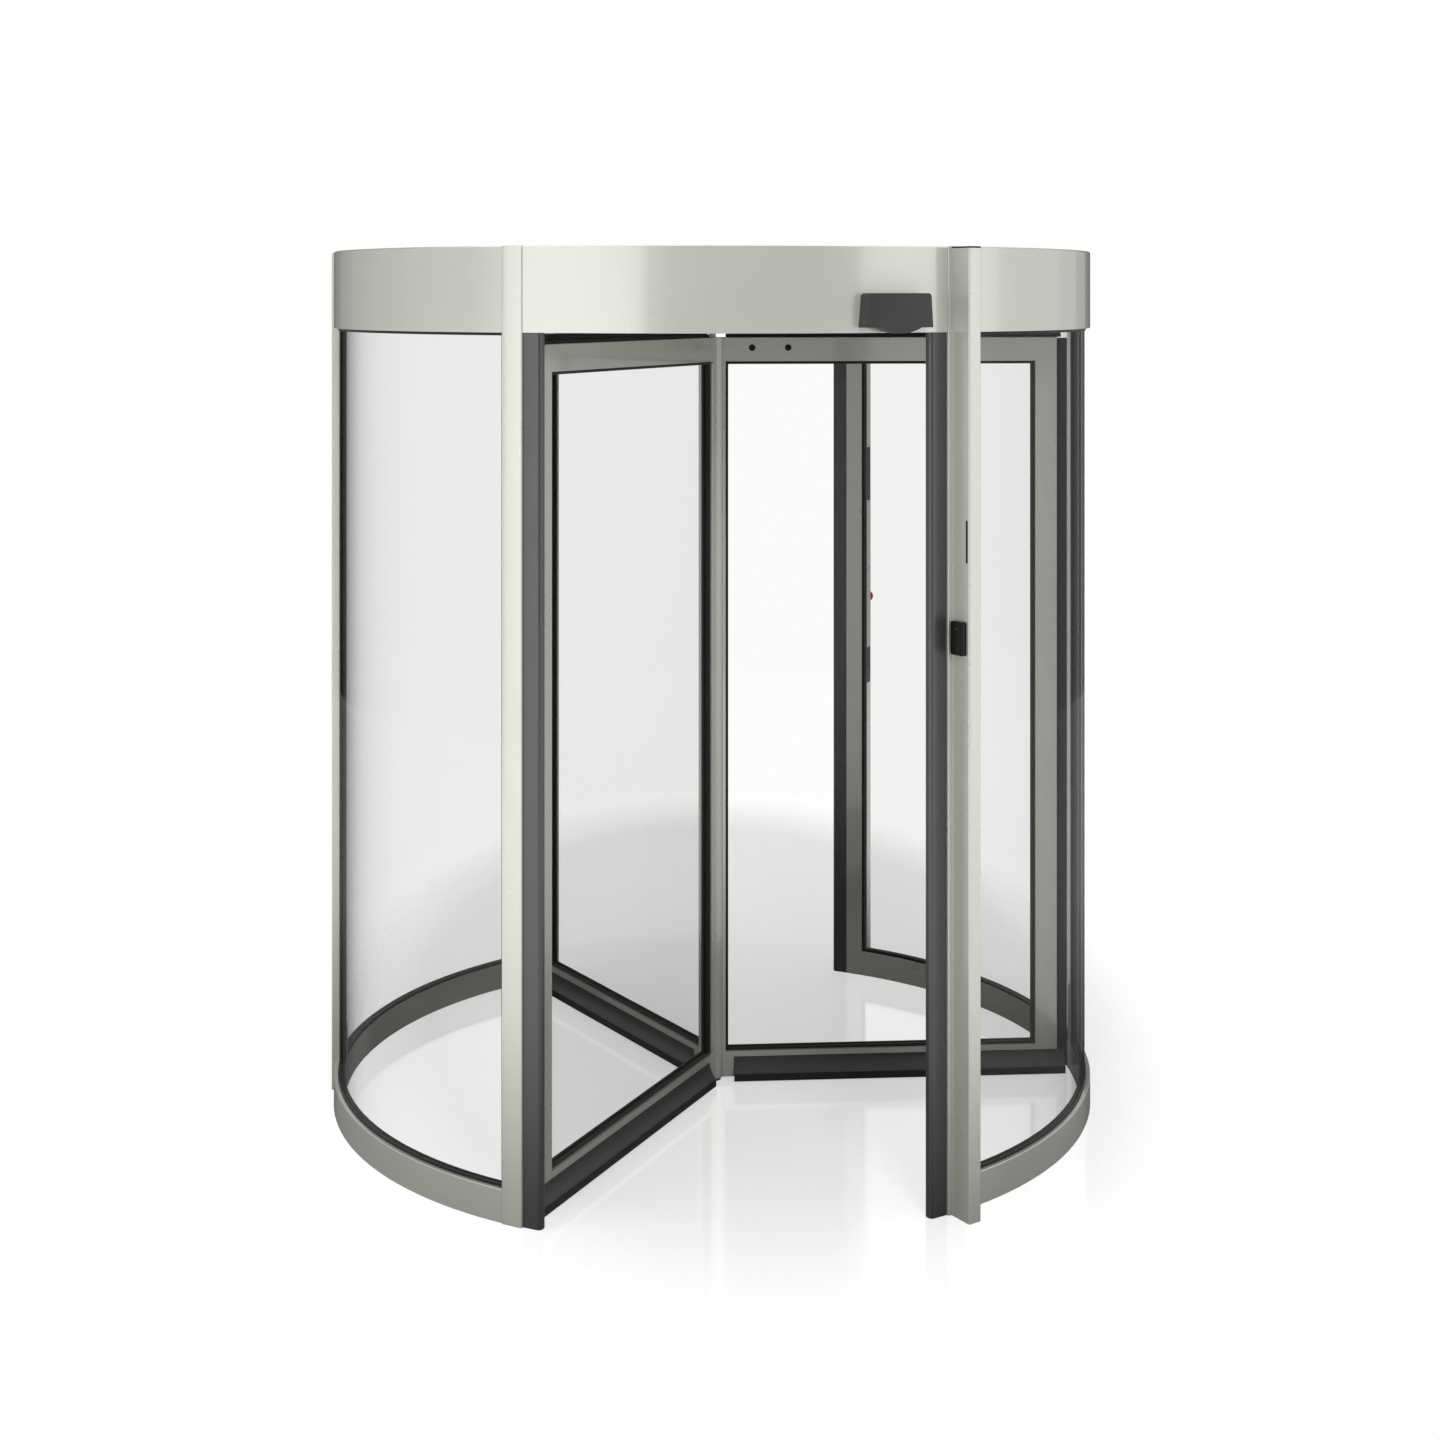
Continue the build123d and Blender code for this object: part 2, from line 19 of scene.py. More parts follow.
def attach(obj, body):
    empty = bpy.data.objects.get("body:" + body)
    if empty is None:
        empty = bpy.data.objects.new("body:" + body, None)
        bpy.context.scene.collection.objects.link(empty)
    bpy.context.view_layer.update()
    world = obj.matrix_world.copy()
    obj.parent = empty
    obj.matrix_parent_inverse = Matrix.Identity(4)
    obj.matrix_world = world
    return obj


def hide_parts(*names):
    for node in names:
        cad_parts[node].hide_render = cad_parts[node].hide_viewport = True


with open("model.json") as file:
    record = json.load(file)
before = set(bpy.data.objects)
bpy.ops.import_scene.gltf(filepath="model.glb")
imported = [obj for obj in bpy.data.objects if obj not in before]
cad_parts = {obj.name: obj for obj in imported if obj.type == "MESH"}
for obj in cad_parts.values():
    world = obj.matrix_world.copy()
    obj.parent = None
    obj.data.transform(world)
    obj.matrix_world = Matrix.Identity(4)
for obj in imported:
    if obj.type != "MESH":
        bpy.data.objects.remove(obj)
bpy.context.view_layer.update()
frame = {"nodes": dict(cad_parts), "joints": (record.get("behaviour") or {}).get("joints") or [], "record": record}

log = logging.getLogger("revolving_door")

MILLIMETRE = 0.001
QUARTER_TURN = math.radians(90.0)
FULL_TURN = math.radians(360.0)

Point = tuple[float, float]
Colour = tuple[float, float, float]
Node = bpy.types.Node
Socket = bpy.types.NodeSocket

UNIT: Point = (0.0, 1.0)
WHITE: Colour = (1.0, 1.0, 1.0)


class Body(Enum):
    """The moving bodies that pieces ride on."""

    DRUM = "drum"
    ROTOR = "rotor"
    BUTTON = "button"


class Slot(Enum):
    """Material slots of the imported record."""

    GREY_PAINT = "grey_paint"
    CEILING_PAINT = "ceiling_paint"
    ROOF_SHEET = "roof_sheet"
    WALL_GLASS = "wall_glass"
    WING_GLASS = "wing_glass"
    EDGE_RUBBER = "edge_rubber"
    SEAL_RUBBER = "seal_rubber"
    SKIRT_PLASTIC = "skirt_plastic"
    BLACK_PLASTIC = "black_plastic"
    RED_PLASTIC = "red_plastic"
    SENSOR_PLASTIC = "sensor_plastic"
    BEARING_STEEL = "bearing_steel"


class Wing(Enum):
    """The wings of the rotor, by the letter in their nodes' names and their bearing in degrees."""

    A = ("a", 0.0)
    B = ("b", 120.0)
    C = ("c", 240.0)

    def node(self, kind: str) -> str:
        """Name of this wing's node of a kind."""
        return f"wing_{self.value[0]}_{kind}"

    def axes(self) -> Matrix:
        """Frame with X along the wing and Z up."""
        return Matrix.Rotation(math.radians(self.value[1]), 4, "Z")


class Side(Enum):
    """The two walls of the drum."""

    LEFT = "left"
    RIGHT = "right"


class Quarter(Enum):
    """The four ends of the walls, beside the entrances."""

    FRONT_LEFT = "front_left"
    FRONT_RIGHT = "front_right"
    REAR_LEFT = "rear_left"
    REAR_RIGHT = "rear_right"


class ShaderGraph:
    """The node tree of a finish or of the world, put together one node at a time."""

    def __init__(self, owner: bpy.types.Material | bpy.types.World, output: str) -> None:
        """Start an empty tree.

        Args:
            owner: What the tree belongs to.
            output: Blender's type name of its output node.
        """
        self.owner = owner
        owner.use_nodes = True
        self.tree = owner.node_tree
        self.tree.nodes.clear()
        self.output = self.add(output)

    @classmethod
    def of_finish(cls, name: str) -> "ShaderGraph":
        """Start the tree of a new material, named for what it covers."""
        return cls(bpy.data.materials.new(name + "_finish"), "ShaderNodeOutputMaterial")

    def add(self, kind: str, **settings: object) -> Node:
        """Add a node.

        Args:
            kind: Blender's type name of the node.
            settings: Node properties to set, by name.

        Returns:
            The new node.
        """
        node = self.tree.nodes.new(kind)
        for name, value in settings.items():
            setattr(node, name, value)
        return node

    def join(self, source: Socket, target: Socket) -> None:
        """Link an output socket to an input socket."""
        self.tree.links.new(source, target)

    def place(self, stretch: Sequence[float] = (1.0, 1.0, 1.0)) -> Socket:
        """Give the place on the piece in its own frame.

        Args:
            stretch: Factor along each axis.

        Returns:
            A vector socket.
        """
        coordinates = self.add("ShaderNodeTexCoord")
        mapping = self.add("ShaderNodeMapping")
        mapping.inputs["Scale"].default_value = stretch
        self.join(coordinates.outputs["Object"], mapping.inputs["Vector"])
        return mapping.outputs["Vector"]

    def upward(self, vector: Socket) -> Socket:
        """Take the upward part of a vector.

        Args:
            vector: Vector socket.

        Returns:
            A value socket.
        """
        parts = self.add("ShaderNodeSeparateXYZ")
        self.join(vector, parts.inputs[0])
        return parts.outputs["Z"]

    def noise(self, place: Socket, waves: float, detail: float) -> Socket:
        """Add a noise pattern.

        Args:
            place: Vector socket with the place on the piece.
            waves: Waves in each metre.
            detail: Number of finer layers.

        Returns:
            A value socket from 0 to 1.
        """
        pattern = self.add("ShaderNodeTexNoise")
        pattern.inputs["Scale"].default_value = waves
        pattern.inputs["Detail"].default_value = detail
        self.join(place, pattern.inputs["Vector"])
        return pattern.outputs["Fac"]

    def calculated(self, operation: str, first: Socket, second: Socket | float) -> Socket:
        """Work out a value from two others.

        Args:
            operation: Blender's name of the operation.
            first: Value socket.
            second: Value socket, or a number.

        Returns:
            A value socket.
        """
        node = self.add("ShaderNodeMath", operation=operation)
        self.join(first, node.inputs[0])
        if isinstance(second, float):
            node.inputs[1].default_value = second
        else:
            self.join(second, node.inputs[1])
        return node.outputs[0]

    def grazing(self, power: float) -> Socket:
        """Grow from 0 where the surface is seen square to 1 where it is seen edge on.

        Args:
            power: How late it grows.

        Returns:
            A value socket from 0 to 1.
        """
        return self.calculated("POWER", self.add("ShaderNodeLayerWeight").outputs["Facing"], power)

    def ranged(self, value: Socket, given: Point, wanted: Point) -> Socket:
        """Map a value from one range to another, held at both ends.

        Args:
            value: The socket to map.
            given: Low and high end of the range that is given.
            wanted: What those two ends become.

        Returns:
            A value socket.
        """
        node = self.add("ShaderNodeMapRange")
        for name, number in zip(("From Min", "From Max", "To Min", "To Max"), (*given, *wanted)):
            node.inputs[name].default_value = number
        self.join(value, node.inputs["Value"])
        return node.outputs["Result"]

    def blend(self, share: Socket, low: Colour, high: Colour) -> Socket:
        """Blend two colours.

        Args:
            share: Value socket, 0 for the low colour and 1 for the high one.
            low: Colour at 0.
            high: Colour at 1.

        Returns:
            A colour socket.
        """
        node = self.add("ShaderNodeMix", data_type="RGBA")
        self.join(share, node.inputs["Factor"])
        colours = {"A": low, "B": high}
        for socket in node.inputs:
            if socket.type == "RGBA":
                socket.default_value = (*colours[socket.name], 1.0)
        return next(socket for socket in node.outputs if socket.type == "RGBA")

    def bump(self, height: Socket, depth: float) -> Socket:
        """Turn a pattern into surface relief.

        Args:
            height: Value socket from 0 to 1.
            depth: Depth of the relief in metres.

        Returns:
            A normal socket.
        """
        node = self.add("ShaderNodeBump")
        node.inputs["Distance"].default_value = depth
        self.join(height, node.inputs["Height"])
        return node.outputs["Normal"]

    def surface(self, values: Mapping[str, float | Colour]) -> Node:
        """Add the main shader and join it to the output.

        Args:
            values: Constant values of its sockets, by name.

        Returns:
            The shader node.
        """
        shader = self.add("ShaderNodeBsdfPrincipled")
        for name, value in values.items():
            shader.inputs[name].default_value = (*value, 1.0) if isinstance(value, tuple) else value
        self.join(shader.outputs["BSDF"], self.output.inputs["Surface"])
        return shader

    def transparent(self, colour: Colour = WHITE) -> Node:
        """Add a shader that lets light straight through.

        Args:
            colour: Share of each part of the light that comes through.

        Returns:
            The shader node.
        """
        shader = self.add("ShaderNodeBsdfTransparent")
        shader.inputs["Color"].default_value = (*colour, 1.0)
        return shader

    def glow(self, strength: float) -> Node:
        """Add a shader that gives off white light.

        Args:
            strength: Brightness of the light.

        Returns:
            The shader node.
        """
        shader = self.add("ShaderNodeEmission")
        shader.inputs["Strength"].default_value = strength
        return shader

    def mixed(self, share: Socket, low: Node, high: Node) -> Node:
        """Mix two shaders and join them to the output.

        Args:
            share: Value socket, 0 for the low shader and 1 for the high one.
            low: Shader at 0.
            high: Shader at 1.

        Returns:
            The shader node that mixes them.
        """
        mix = self.add("ShaderNodeMixShader")
        self.join(share, mix.inputs["Fac"])
        self.join(low.outputs[0], mix.inputs[1])
        self.join(high.outputs[0], mix.inputs[2])
        self.join(mix.outputs["Shader"], self.output.inputs["Surface"])
        return mix


@dataclass(frozen=True, kw_only=True)
class GrainedFinish:
    """Finish whose colour and gloss vary in clouds, over a fine grain."""

    slot: Slot
    light: Colour
    dark: Colour
    roughness: Point
    cloud_waves: float
    cloud_detail: float = 4.0
    cloud_span: Point = (0.3, 0.7)
    grain_waves: float
    grain_detail: float = 2.0
    grain_depth: float

    def shine(self) -> dict[str, float]:
        """Constant values of the main shader, by socket name."""
        return {}

    def colour(self, graph: ShaderGraph, clouds: Socket) -> Socket:
        """Colour the piece.

        Args:
            graph: The material's node tree.
            clouds: Value socket with the pattern of clouds.

        Returns:
            A colour socket.
        """
        return graph.blend(clouds, self.dark, self.light)

    def material(self) -> bpy.types.Material:
        """Build the finish.

        Returns:
            The finish as a material.
        """
        graph = ShaderGraph.of_finish(self.slot.value)
        shader = graph.surface(self.shine())
        place = graph.place()
        clouds = graph.noise(place, self.cloud_waves, self.cloud_detail)
        graph.join(self.colour(graph, clouds), shader.inputs["Base Color"])
        graph.join(graph.ranged(clouds, self.cloud_span, self.roughness), shader.inputs["Roughness"])
        grain = graph.noise(place, self.grain_waves, self.grain_detail)
        graph.join(graph.bump(grain, self.grain_depth), shader.inputs["Normal"])
        return graph.owner


@dataclass(frozen=True, kw_only=True)
class Paint(GrainedFinish):
    """Painted metal with a fine orange peel, bare or under a thin coat of gloss."""

    cloud_waves: float = 3.5
    cloud_detail: float = 3.0
    grain_waves: float = 420.0
    grain_detail: float = 1.0
    grain_depth: float = 0.004 * MILLIMETRE
    metal: float = 0.0
    coat: float = 0.0
    coat_index: float = 1.5
    coat_roughness: float = 0.07

    def shine(self) -> dict[str, float]:
        """List the constant values of the main shader.

        Returns:
            The values, by socket name.
        """
        return {
            "Metallic": self.metal,
            "Coat Weight": self.coat,
            "Coat IOR": self.coat_index,
            "Coat Roughness": self.coat_roughness,
        }


@dataclass(frozen=True, kw_only=True)
class Rubber(GrainedFinish):
    """Extruded rubber with a fine grain and a soft sheen."""

    cloud_waves: float = 9.0
    grain_waves: float = 900.0
    grain_depth: float = 0.03 * MILLIMETRE
    index: float
    sheen: float = 0.05
    sheen_roughness: float = 0.5

    def shine(self) -> dict[str, float]:
        """Constant values of the main shader, by socket name."""
        return {"IOR": self.index, "Sheen Weight": self.sheen, "Sheen Roughness": self.sheen_roughness}


@dataclass(frozen=True, kw_only=True)
class Plastic(GrainedFinish):
    """Moulded plastic, glossy or finely grained."""

    cloud_waves: float = 30.0
    grain_waves: float = 1400.0
    index: float = 1.5

    def shine(self) -> dict[str, float]:
        """Constant values of the main shader, by socket name."""
        return {"IOR": self.index}


@dataclass(frozen=True, kw_only=True)
class SkirtPlastic(GrainedFinish):
    """Moulded skirt in its light colour, whose lip, near the floor, is in its dark one."""

    cloud_waves: float = 12.0
    grain_waves: float = 1100.0
    grain_depth: float = 0.03 * MILLIMETRE
    lip_top: float
    border: float = 0.5 * MILLIMETRE

    def colour(self, graph: ShaderGraph, clouds: Socket) -> Socket:
        """Part the lip's colour from the body's by height.

        Args:
            graph: The material's node tree.
            clouds: Value socket with the pattern of clouds, which varies the gloss alone.

        Returns:
            A colour socket.
        """
        border = (self.lip_top - self.border, self.lip_top + self.border)
        return graph.blend(graph.ranged(graph.upward(graph.place()), border, UNIT), self.dark, self.light)


@dataclass(frozen=True, kw_only=True)
class Glass:
    """Clear pane whose see-through colour darkens to near black towards grazing sight, a painted shade, and that
    mirrors more there, with the faintest haze of handling.

    Light that isn't on its way to the eye is dimmed to the shade. Seen in another surface, the pane is
    dimmed further, a painted shade, and glows with a painted reflection of a pale room, though it is no lamp.
    """

    slot: Slot
    tint: Colour
    shade: Colour
    # painted shade: see-through colour that the pane darkens to towards grazing sight
    depth: Colour = (0.021, 0.021, 0.021)
    grazing_shade_power: float
    # painted reflection: strength of the glow that reflected rays see in the pane, as if it mirrored a pale room
    painted_reflection_glow: float
    reflection_shade: float
    mirror: Point = (0.015, 0.12)
    mirror_power: float = 5.0
    haze: float = 0.02
    haze_waves: float = 2.2
    haze_detail: float = 5.0
    haze_span: Point = (0.45, 0.8)

    def material(self) -> bpy.types.Material:
        """Build the finish.

        Returns:
            The finish as a material.
        """
        graph = ShaderGraph.of_finish(self.slot.value)
        path = graph.add("ShaderNodeLightPath")
        direct = graph.mixed(path.outputs["Is Camera Ray"], graph.transparent(self.shade), self.pane(graph))
        # painted shade: reflections see through the pane dimmed further; painted reflection: the pane also glows
        # for them
        shaded_for_reflections = graph.transparent(tuple(self.reflection_shade * part for part in self.shade))
        mirrored = graph.add("ShaderNodeAddShader")
        graph.join(shaded_for_reflections.outputs[0], mirrored.inputs[0])
        graph.join(graph.glow(self.painted_reflection_glow).outputs[0], mirrored.inputs[1])
        graph.mixed(path.outputs["Is Glossy Ray"], direct, mirrored)
        return graph.owner

    def pane(self, graph: ShaderGraph) -> Node:
        """Make the pane as the eye sees it.

        Args:
            graph: The material's node tree.

        Returns:
            The shader node.
        """
        clear = graph.transparent()
        # painted shade: the see-through colour darkens towards grazing sight
        shaded_at_grazing = graph.blend(graph.grazing(self.grazing_shade_power), self.tint, self.depth)
        graph.join(shaded_at_grazing, clear.inputs["Color"])
        gloss = graph.add("ShaderNodeBsdfAnisotropic")
        clouds = graph.noise(graph.place(), self.haze_waves, self.haze_detail)
        graph.join(graph.ranged(clouds, self.haze_span, (0.0, self.haze)), gloss.inputs["Roughness"])
        return graph.mixed(graph.ranged(graph.grazing(self.mirror_power), UNIT, self.mirror), clear, gloss)


@dataclass(frozen=True, kw_only=True)
class TurnedSteel:
    """Bare steel with fine turning marks."""

    slot: Slot
    colour: Colour
    roughness: Point = (0.22, 0.4)
    mark_waves: float = 60.0
    mark_detail: float = 3.0
    mark_span: Point = (0.3, 0.7)
    mark_stretch: float = 40.0
    mark_depth: float = 0.02 * MILLIMETRE

    def material(self) -> bpy.types.Material:
        """Build the finish.

        Returns:
            The finish as a material.
        """
        graph = ShaderGraph.of_finish(self.slot.value)
        shader = graph.surface({"Metallic": 1.0, "Base Color": self.colour})
        marks = graph.noise(graph.place((1.0, 1.0, self.mark_stretch)), self.mark_waves, self.mark_detail)
        graph.join(graph.ranged(marks, self.mark_span, self.roughness), shader.inputs["Roughness"])
        graph.join(graph.bump(marks, self.mark_depth), shader.inputs["Normal"])
        return graph.owner


Finish = GrainedFinish | Glass | TurnedSteel

FINISHES: tuple[Finish, ...] = (
    Paint(
        slot=Slot.GREY_PAINT, light=(0.55, 0.55, 0.503), dark=(0.53, 0.53, 0.484),
        roughness=(0.26, 0.34), metal=0.35, coat=1.0, coat_index=1.7,
    ),
    Paint(
        slot=Slot.CEILING_PAINT, light=(0.62, 0.62, 0.6), dark=(0.58, 0.58, 0.56), roughness=(0.5, 0.62),
    ),
    Paint(
        slot=Slot.ROOF_SHEET, light=(0.5, 0.5, 0.47), dark=(0.44, 0.44, 0.41), roughness=(0.42, 0.6),
    ),
    Glass(
        slot=Slot.WALL_GLASS, tint=(0.962, 0.962, 0.961), shade=(0.62, 0.62, 0.619),
        grazing_shade_power=7.2, painted_reflection_glow=0.46, reflection_shade=0.6,
    ),
    Glass(
        slot=Slot.WING_GLASS, tint=(0.991, 0.991, 0.99), shade=(0.8, 0.8, 0.799),
        grazing_shade_power=5.0, painted_reflection_glow=0.03, reflection_shade=1.0,
    ),
    Rubber(
        slot=Slot.EDGE_RUBBER, light=(0.028, 0.028, 0.029), dark=(0.023, 0.023, 0.024),
        roughness=(0.3, 0.38), index=1.75,
    ),
    Rubber(
        slot=Slot.SEAL_RUBBER, light=(0.018, 0.018, 0.018), dark=(0.013, 0.013, 0.013),
        roughness=(0.4, 0.52), index=1.32,
    ),
    SkirtPlastic(
        slot=Slot.SKIRT_PLASTIC, light=(0.042, 0.042, 0.043), dark=(0.014, 0.014, 0.015),
        roughness=(0.34, 0.46), lip_top=24.8 * MILLIMETRE,
    ),
    Plastic(
        slot=Slot.BLACK_PLASTIC, light=(0.007, 0.007, 0.007), dark=(0.005, 0.005, 0.005),
        roughness=(0.12, 0.2), grain_depth=0.01 * MILLIMETRE, index=1.28,
    ),
    Plastic(
        slot=Slot.RED_PLASTIC, light=(0.5, 0.02, 0.025), dark=(0.42, 0.016, 0.02),
        roughness=(0.2, 0.3), grain_depth=0.01 * MILLIMETRE,
    ),
    Plastic(
        slot=Slot.SENSOR_PLASTIC, light=(0.043, 0.043, 0.043), dark=(0.036, 0.036, 0.037),
        roughness=(0.42, 0.52), grain_depth=0.05 * MILLIMETRE, index=1.35,
    ),
    TurnedSteel(slot=Slot.BEARING_STEEL, colour=(0.55, 0.55, 0.56)),
)


class Stock:
    """A mesh while it is being shaped."""

    weld_distance: float = 0.001 * MILLIMETRE
    flat_angle: float = math.radians(0.2)
    level_digits: int = 5

    def __init__(self) -> None:
        """Start with nothing."""
        self.mesh = bmesh.new()

    @classmethod
    def of_node(cls, node: str) -> "Stock":
        """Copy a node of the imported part, with each flat face in one piece.

        Args:
            node: Name of the node.

        Returns:
            The copy.
        """
        stock = cls()
        source = frame["nodes"][node].data
        corners = [stock.mesh.verts.new(vertex.co) for vertex in source.vertices]
        for face in source.polygons:
            stock.mesh.faces.new([corners[index] for index in face.vertices])
        bmesh.ops.remove_doubles(stock.mesh, verts=stock.mesh.verts, dist=cls.weld_distance)
        bmesh.ops.dissolve_limit(
            stock.mesh, angle_limit=cls.flat_angle, verts=stock.mesh.verts, edges=stock.mesh.edges
        )
        return stock

    @classmethod
    def prism(cls, outline: Sequence[Point], low: float, high: float) -> "Stock":
        """Raise a closed outline, drawn in X and Y, between two heights.

        Args:
            outline: Corners of the outline.
            low: Height of the bottom.
            high: Height of the top.

        Returns:
            The prism.
        """
        stock = cls()
        bottom, top = ([stock.mesh.verts.new((x, y, z)) for x, y in outline] for z in (low, high))
        for index in range(len(outline)):
            before = index - 1
            stock.mesh.faces.new((bottom[before], bottom[index], top[index], top[before]))
        stock.mesh.faces.new(bottom)
        stock.mesh.faces.new(top)
        return stock

    @classmethod
    def lathe(cls, profile: Sequence[Point], steps: int) -> "Stock":
        """Turn a profile about the Z axis.

        Args:
            profile: Radius and height of each point, closed by itself or from axis to axis.
            steps: Number of steps round the axis.

        Returns:
            The turned shape.
        """
        stock = cls()
        points = [stock.mesh.verts.new((radius, 0.0, height)) for radius, height in profile]
        edges = [stock.mesh.edges.new(pair) for pair in zip(points, points[1:])]
        bmesh.ops.spin(
            stock.mesh, geom=points + edges, cent=(0.0, 0.0, 0.0), axis=(0.0, 0.0, 1.0),
            dvec=(0.0, 0.0, 0.0), angle=FULL_TURN, steps=steps, use_merge=True,
        )
        bmesh.ops.remove_doubles(stock.mesh, verts=stock.mesh.verts, dist=cls.weld_distance)
        return stock

    @classmethod
    def bent_pane(cls, radii: Point, heights: Point, sector: Point, steps: int, edge: float) -> "Stock":
        """Bend a pane round the Z axis, with ground edges.

        Args:
            radii: Inner and outer radius.
            heights: Bottom and top.
            sector: Bearings of the two ends, in radians.
            steps: Number of steps along the bend.
            edge: Width of the ground bevel.

        Returns:
            The pane.
        """
        stock = cls()
        inner, outer = radii
        low, high = heights
        section = (
            (inner, low + edge), (inner + edge, low), (outer - edge, low), (outer, low + edge),
            (outer, high - edge), (outer - edge, high), (inner + edge, high), (inner, high - edge),
        )
        rings = []
        for step in range(steps + 1):
            turn = sector[0] + (sector[1] - sector[0]) * step / steps
            across, along = math.cos(turn), math.sin(turn)
            places = [(radius * across, radius * along, height) for radius, height in section]
            rings.append([stock.mesh.verts.new(place) for place in places])
        for left, right in zip(rings, rings[1:]):
            for index in range(len(section)):
                stock.mesh.faces.new((left[index - 1], right[index - 1], right[index], left[index]))
        stock.mesh.faces.new(rings[0])
        stock.mesh.faces.new(rings[-1])
        return stock

    def moved(self, place: Matrix) -> "Stock":
        """Move the stock and give it back."""
        bmesh.ops.transform(self.mesh, matrix=place, verts=self.mesh.verts)
        return self

    def taking(self, other: "Stock") -> "Stock":
        """Add a copy of other stock to this one.

        Args:
            other: The stock to add.

        Returns:
            This stock.
        """
        copies = {vertex: self.mesh.verts.new(vertex.co) for vertex in other.mesh.verts}
        for face in other.mesh.faces:
            self.mesh.faces.new([copies[vertex] for vertex in face.verts])
        return self

    def solids(self) -> list["Stock"]:
        """Part the stock into its separate solids.

        Returns:
            Stock for each solid.
        """
        self.mesh.verts.index_update()
        group_of: dict[int, int] = {}
        count = 0
        for start in self.mesh.verts:
            if start.index in group_of:
                continue
            waiting = [start]
            while waiting:
                vertex = waiting.pop()
                if vertex.index not in group_of:
                    group_of[vertex.index] = count
                    waiting.extend(edge.other_vert(vertex) for edge in vertex.link_edges)
            count += 1
        parts = [Stock() for _ in range(count)]
        copies = {
            vertex: parts[group_of[vertex.index]].mesh.verts.new(vertex.co) for vertex in self.mesh.verts
        }
        for face in self.mesh.faces:
            part = parts[group_of[face.verts[0].index]]
            part.mesh.faces.new([copies[vertex] for vertex in face.verts])
        return parts

    def extent(self, axes: Matrix) -> tuple[Vector, Vector]:
        """Measure the stock along a frame's own axes.

        Args:
            axes: The frame to measure along.

        Returns:
            The lowest and the highest corner, in that frame.
        """
        inward = axes.inverted()
        values = list(zip(*(inward @ vertex.co for vertex in self.mesh.verts)))
        return Vector(map(min, values)), Vector(map(max, values))

    def levels(self, axes: Matrix, axis: int) -> list[float]:
        """List the distinct values along one axis of a frame, in rising order.

        Args:
            axes: The frame to measure along.
            axis: 0, 1 or 2 for its X, Y or Z axis.

        Returns:
            The values.
        """
        inward = axes.inverted()
        values = ((inward @ vertex.co)[axis] for vertex in self.mesh.verts)
        return sorted({round(value, self.level_digits) for value in values})


def rounded_rectangle(width: float, height: float, radius: float, steps: int = 6) -> list[Point]:
    """Outline of a rectangle with rounded corners, about the origin.

    Args:
        width: Size along X.
        height: Size along Y.
        radius: Radius of the corners.
        steps: Steps in each corner.

    Returns:
        The outline's points.
    """
    points = []
    for corner, (across, up) in enumerate(((1, 1), (-1, 1), (-1, -1), (1, -1))):
        centre = (across * (width / 2 - radius), up * (height / 2 - radius))
        for step in range(steps + 1):
            turn = (corner + step / steps) * QUARTER_TURN
            points.append((centre[0] + radius * math.cos(turn), centre[1] + radius * math.sin(turn)))
    return points


def dome(radius: float, low: float, high: float, fullness: float, steps: int = 12) -> list[Point]:
    """Profile of a dome, from its rim up to the axis.

    Args:
        radius: Radius of the rim.
        low: Height of the rim.
        high: Height of the top.
        fullness: 1 for a round dome, more for a flatter top with a tighter rim.
        steps: Steps from rim to top.

    Returns:
        Radius and height of each point.
    """
    points = []
    for step in range(steps + 1):
        turn = step / steps * QUARTER_TURN
        across = max(math.cos(turn), 0.0) ** (1.0 / fullness)
        points.append((radius * across, low + (high - low) * math.sin(turn) ** (1.0 / fullness)))
    points[-1] = (0.0, high)
    return points


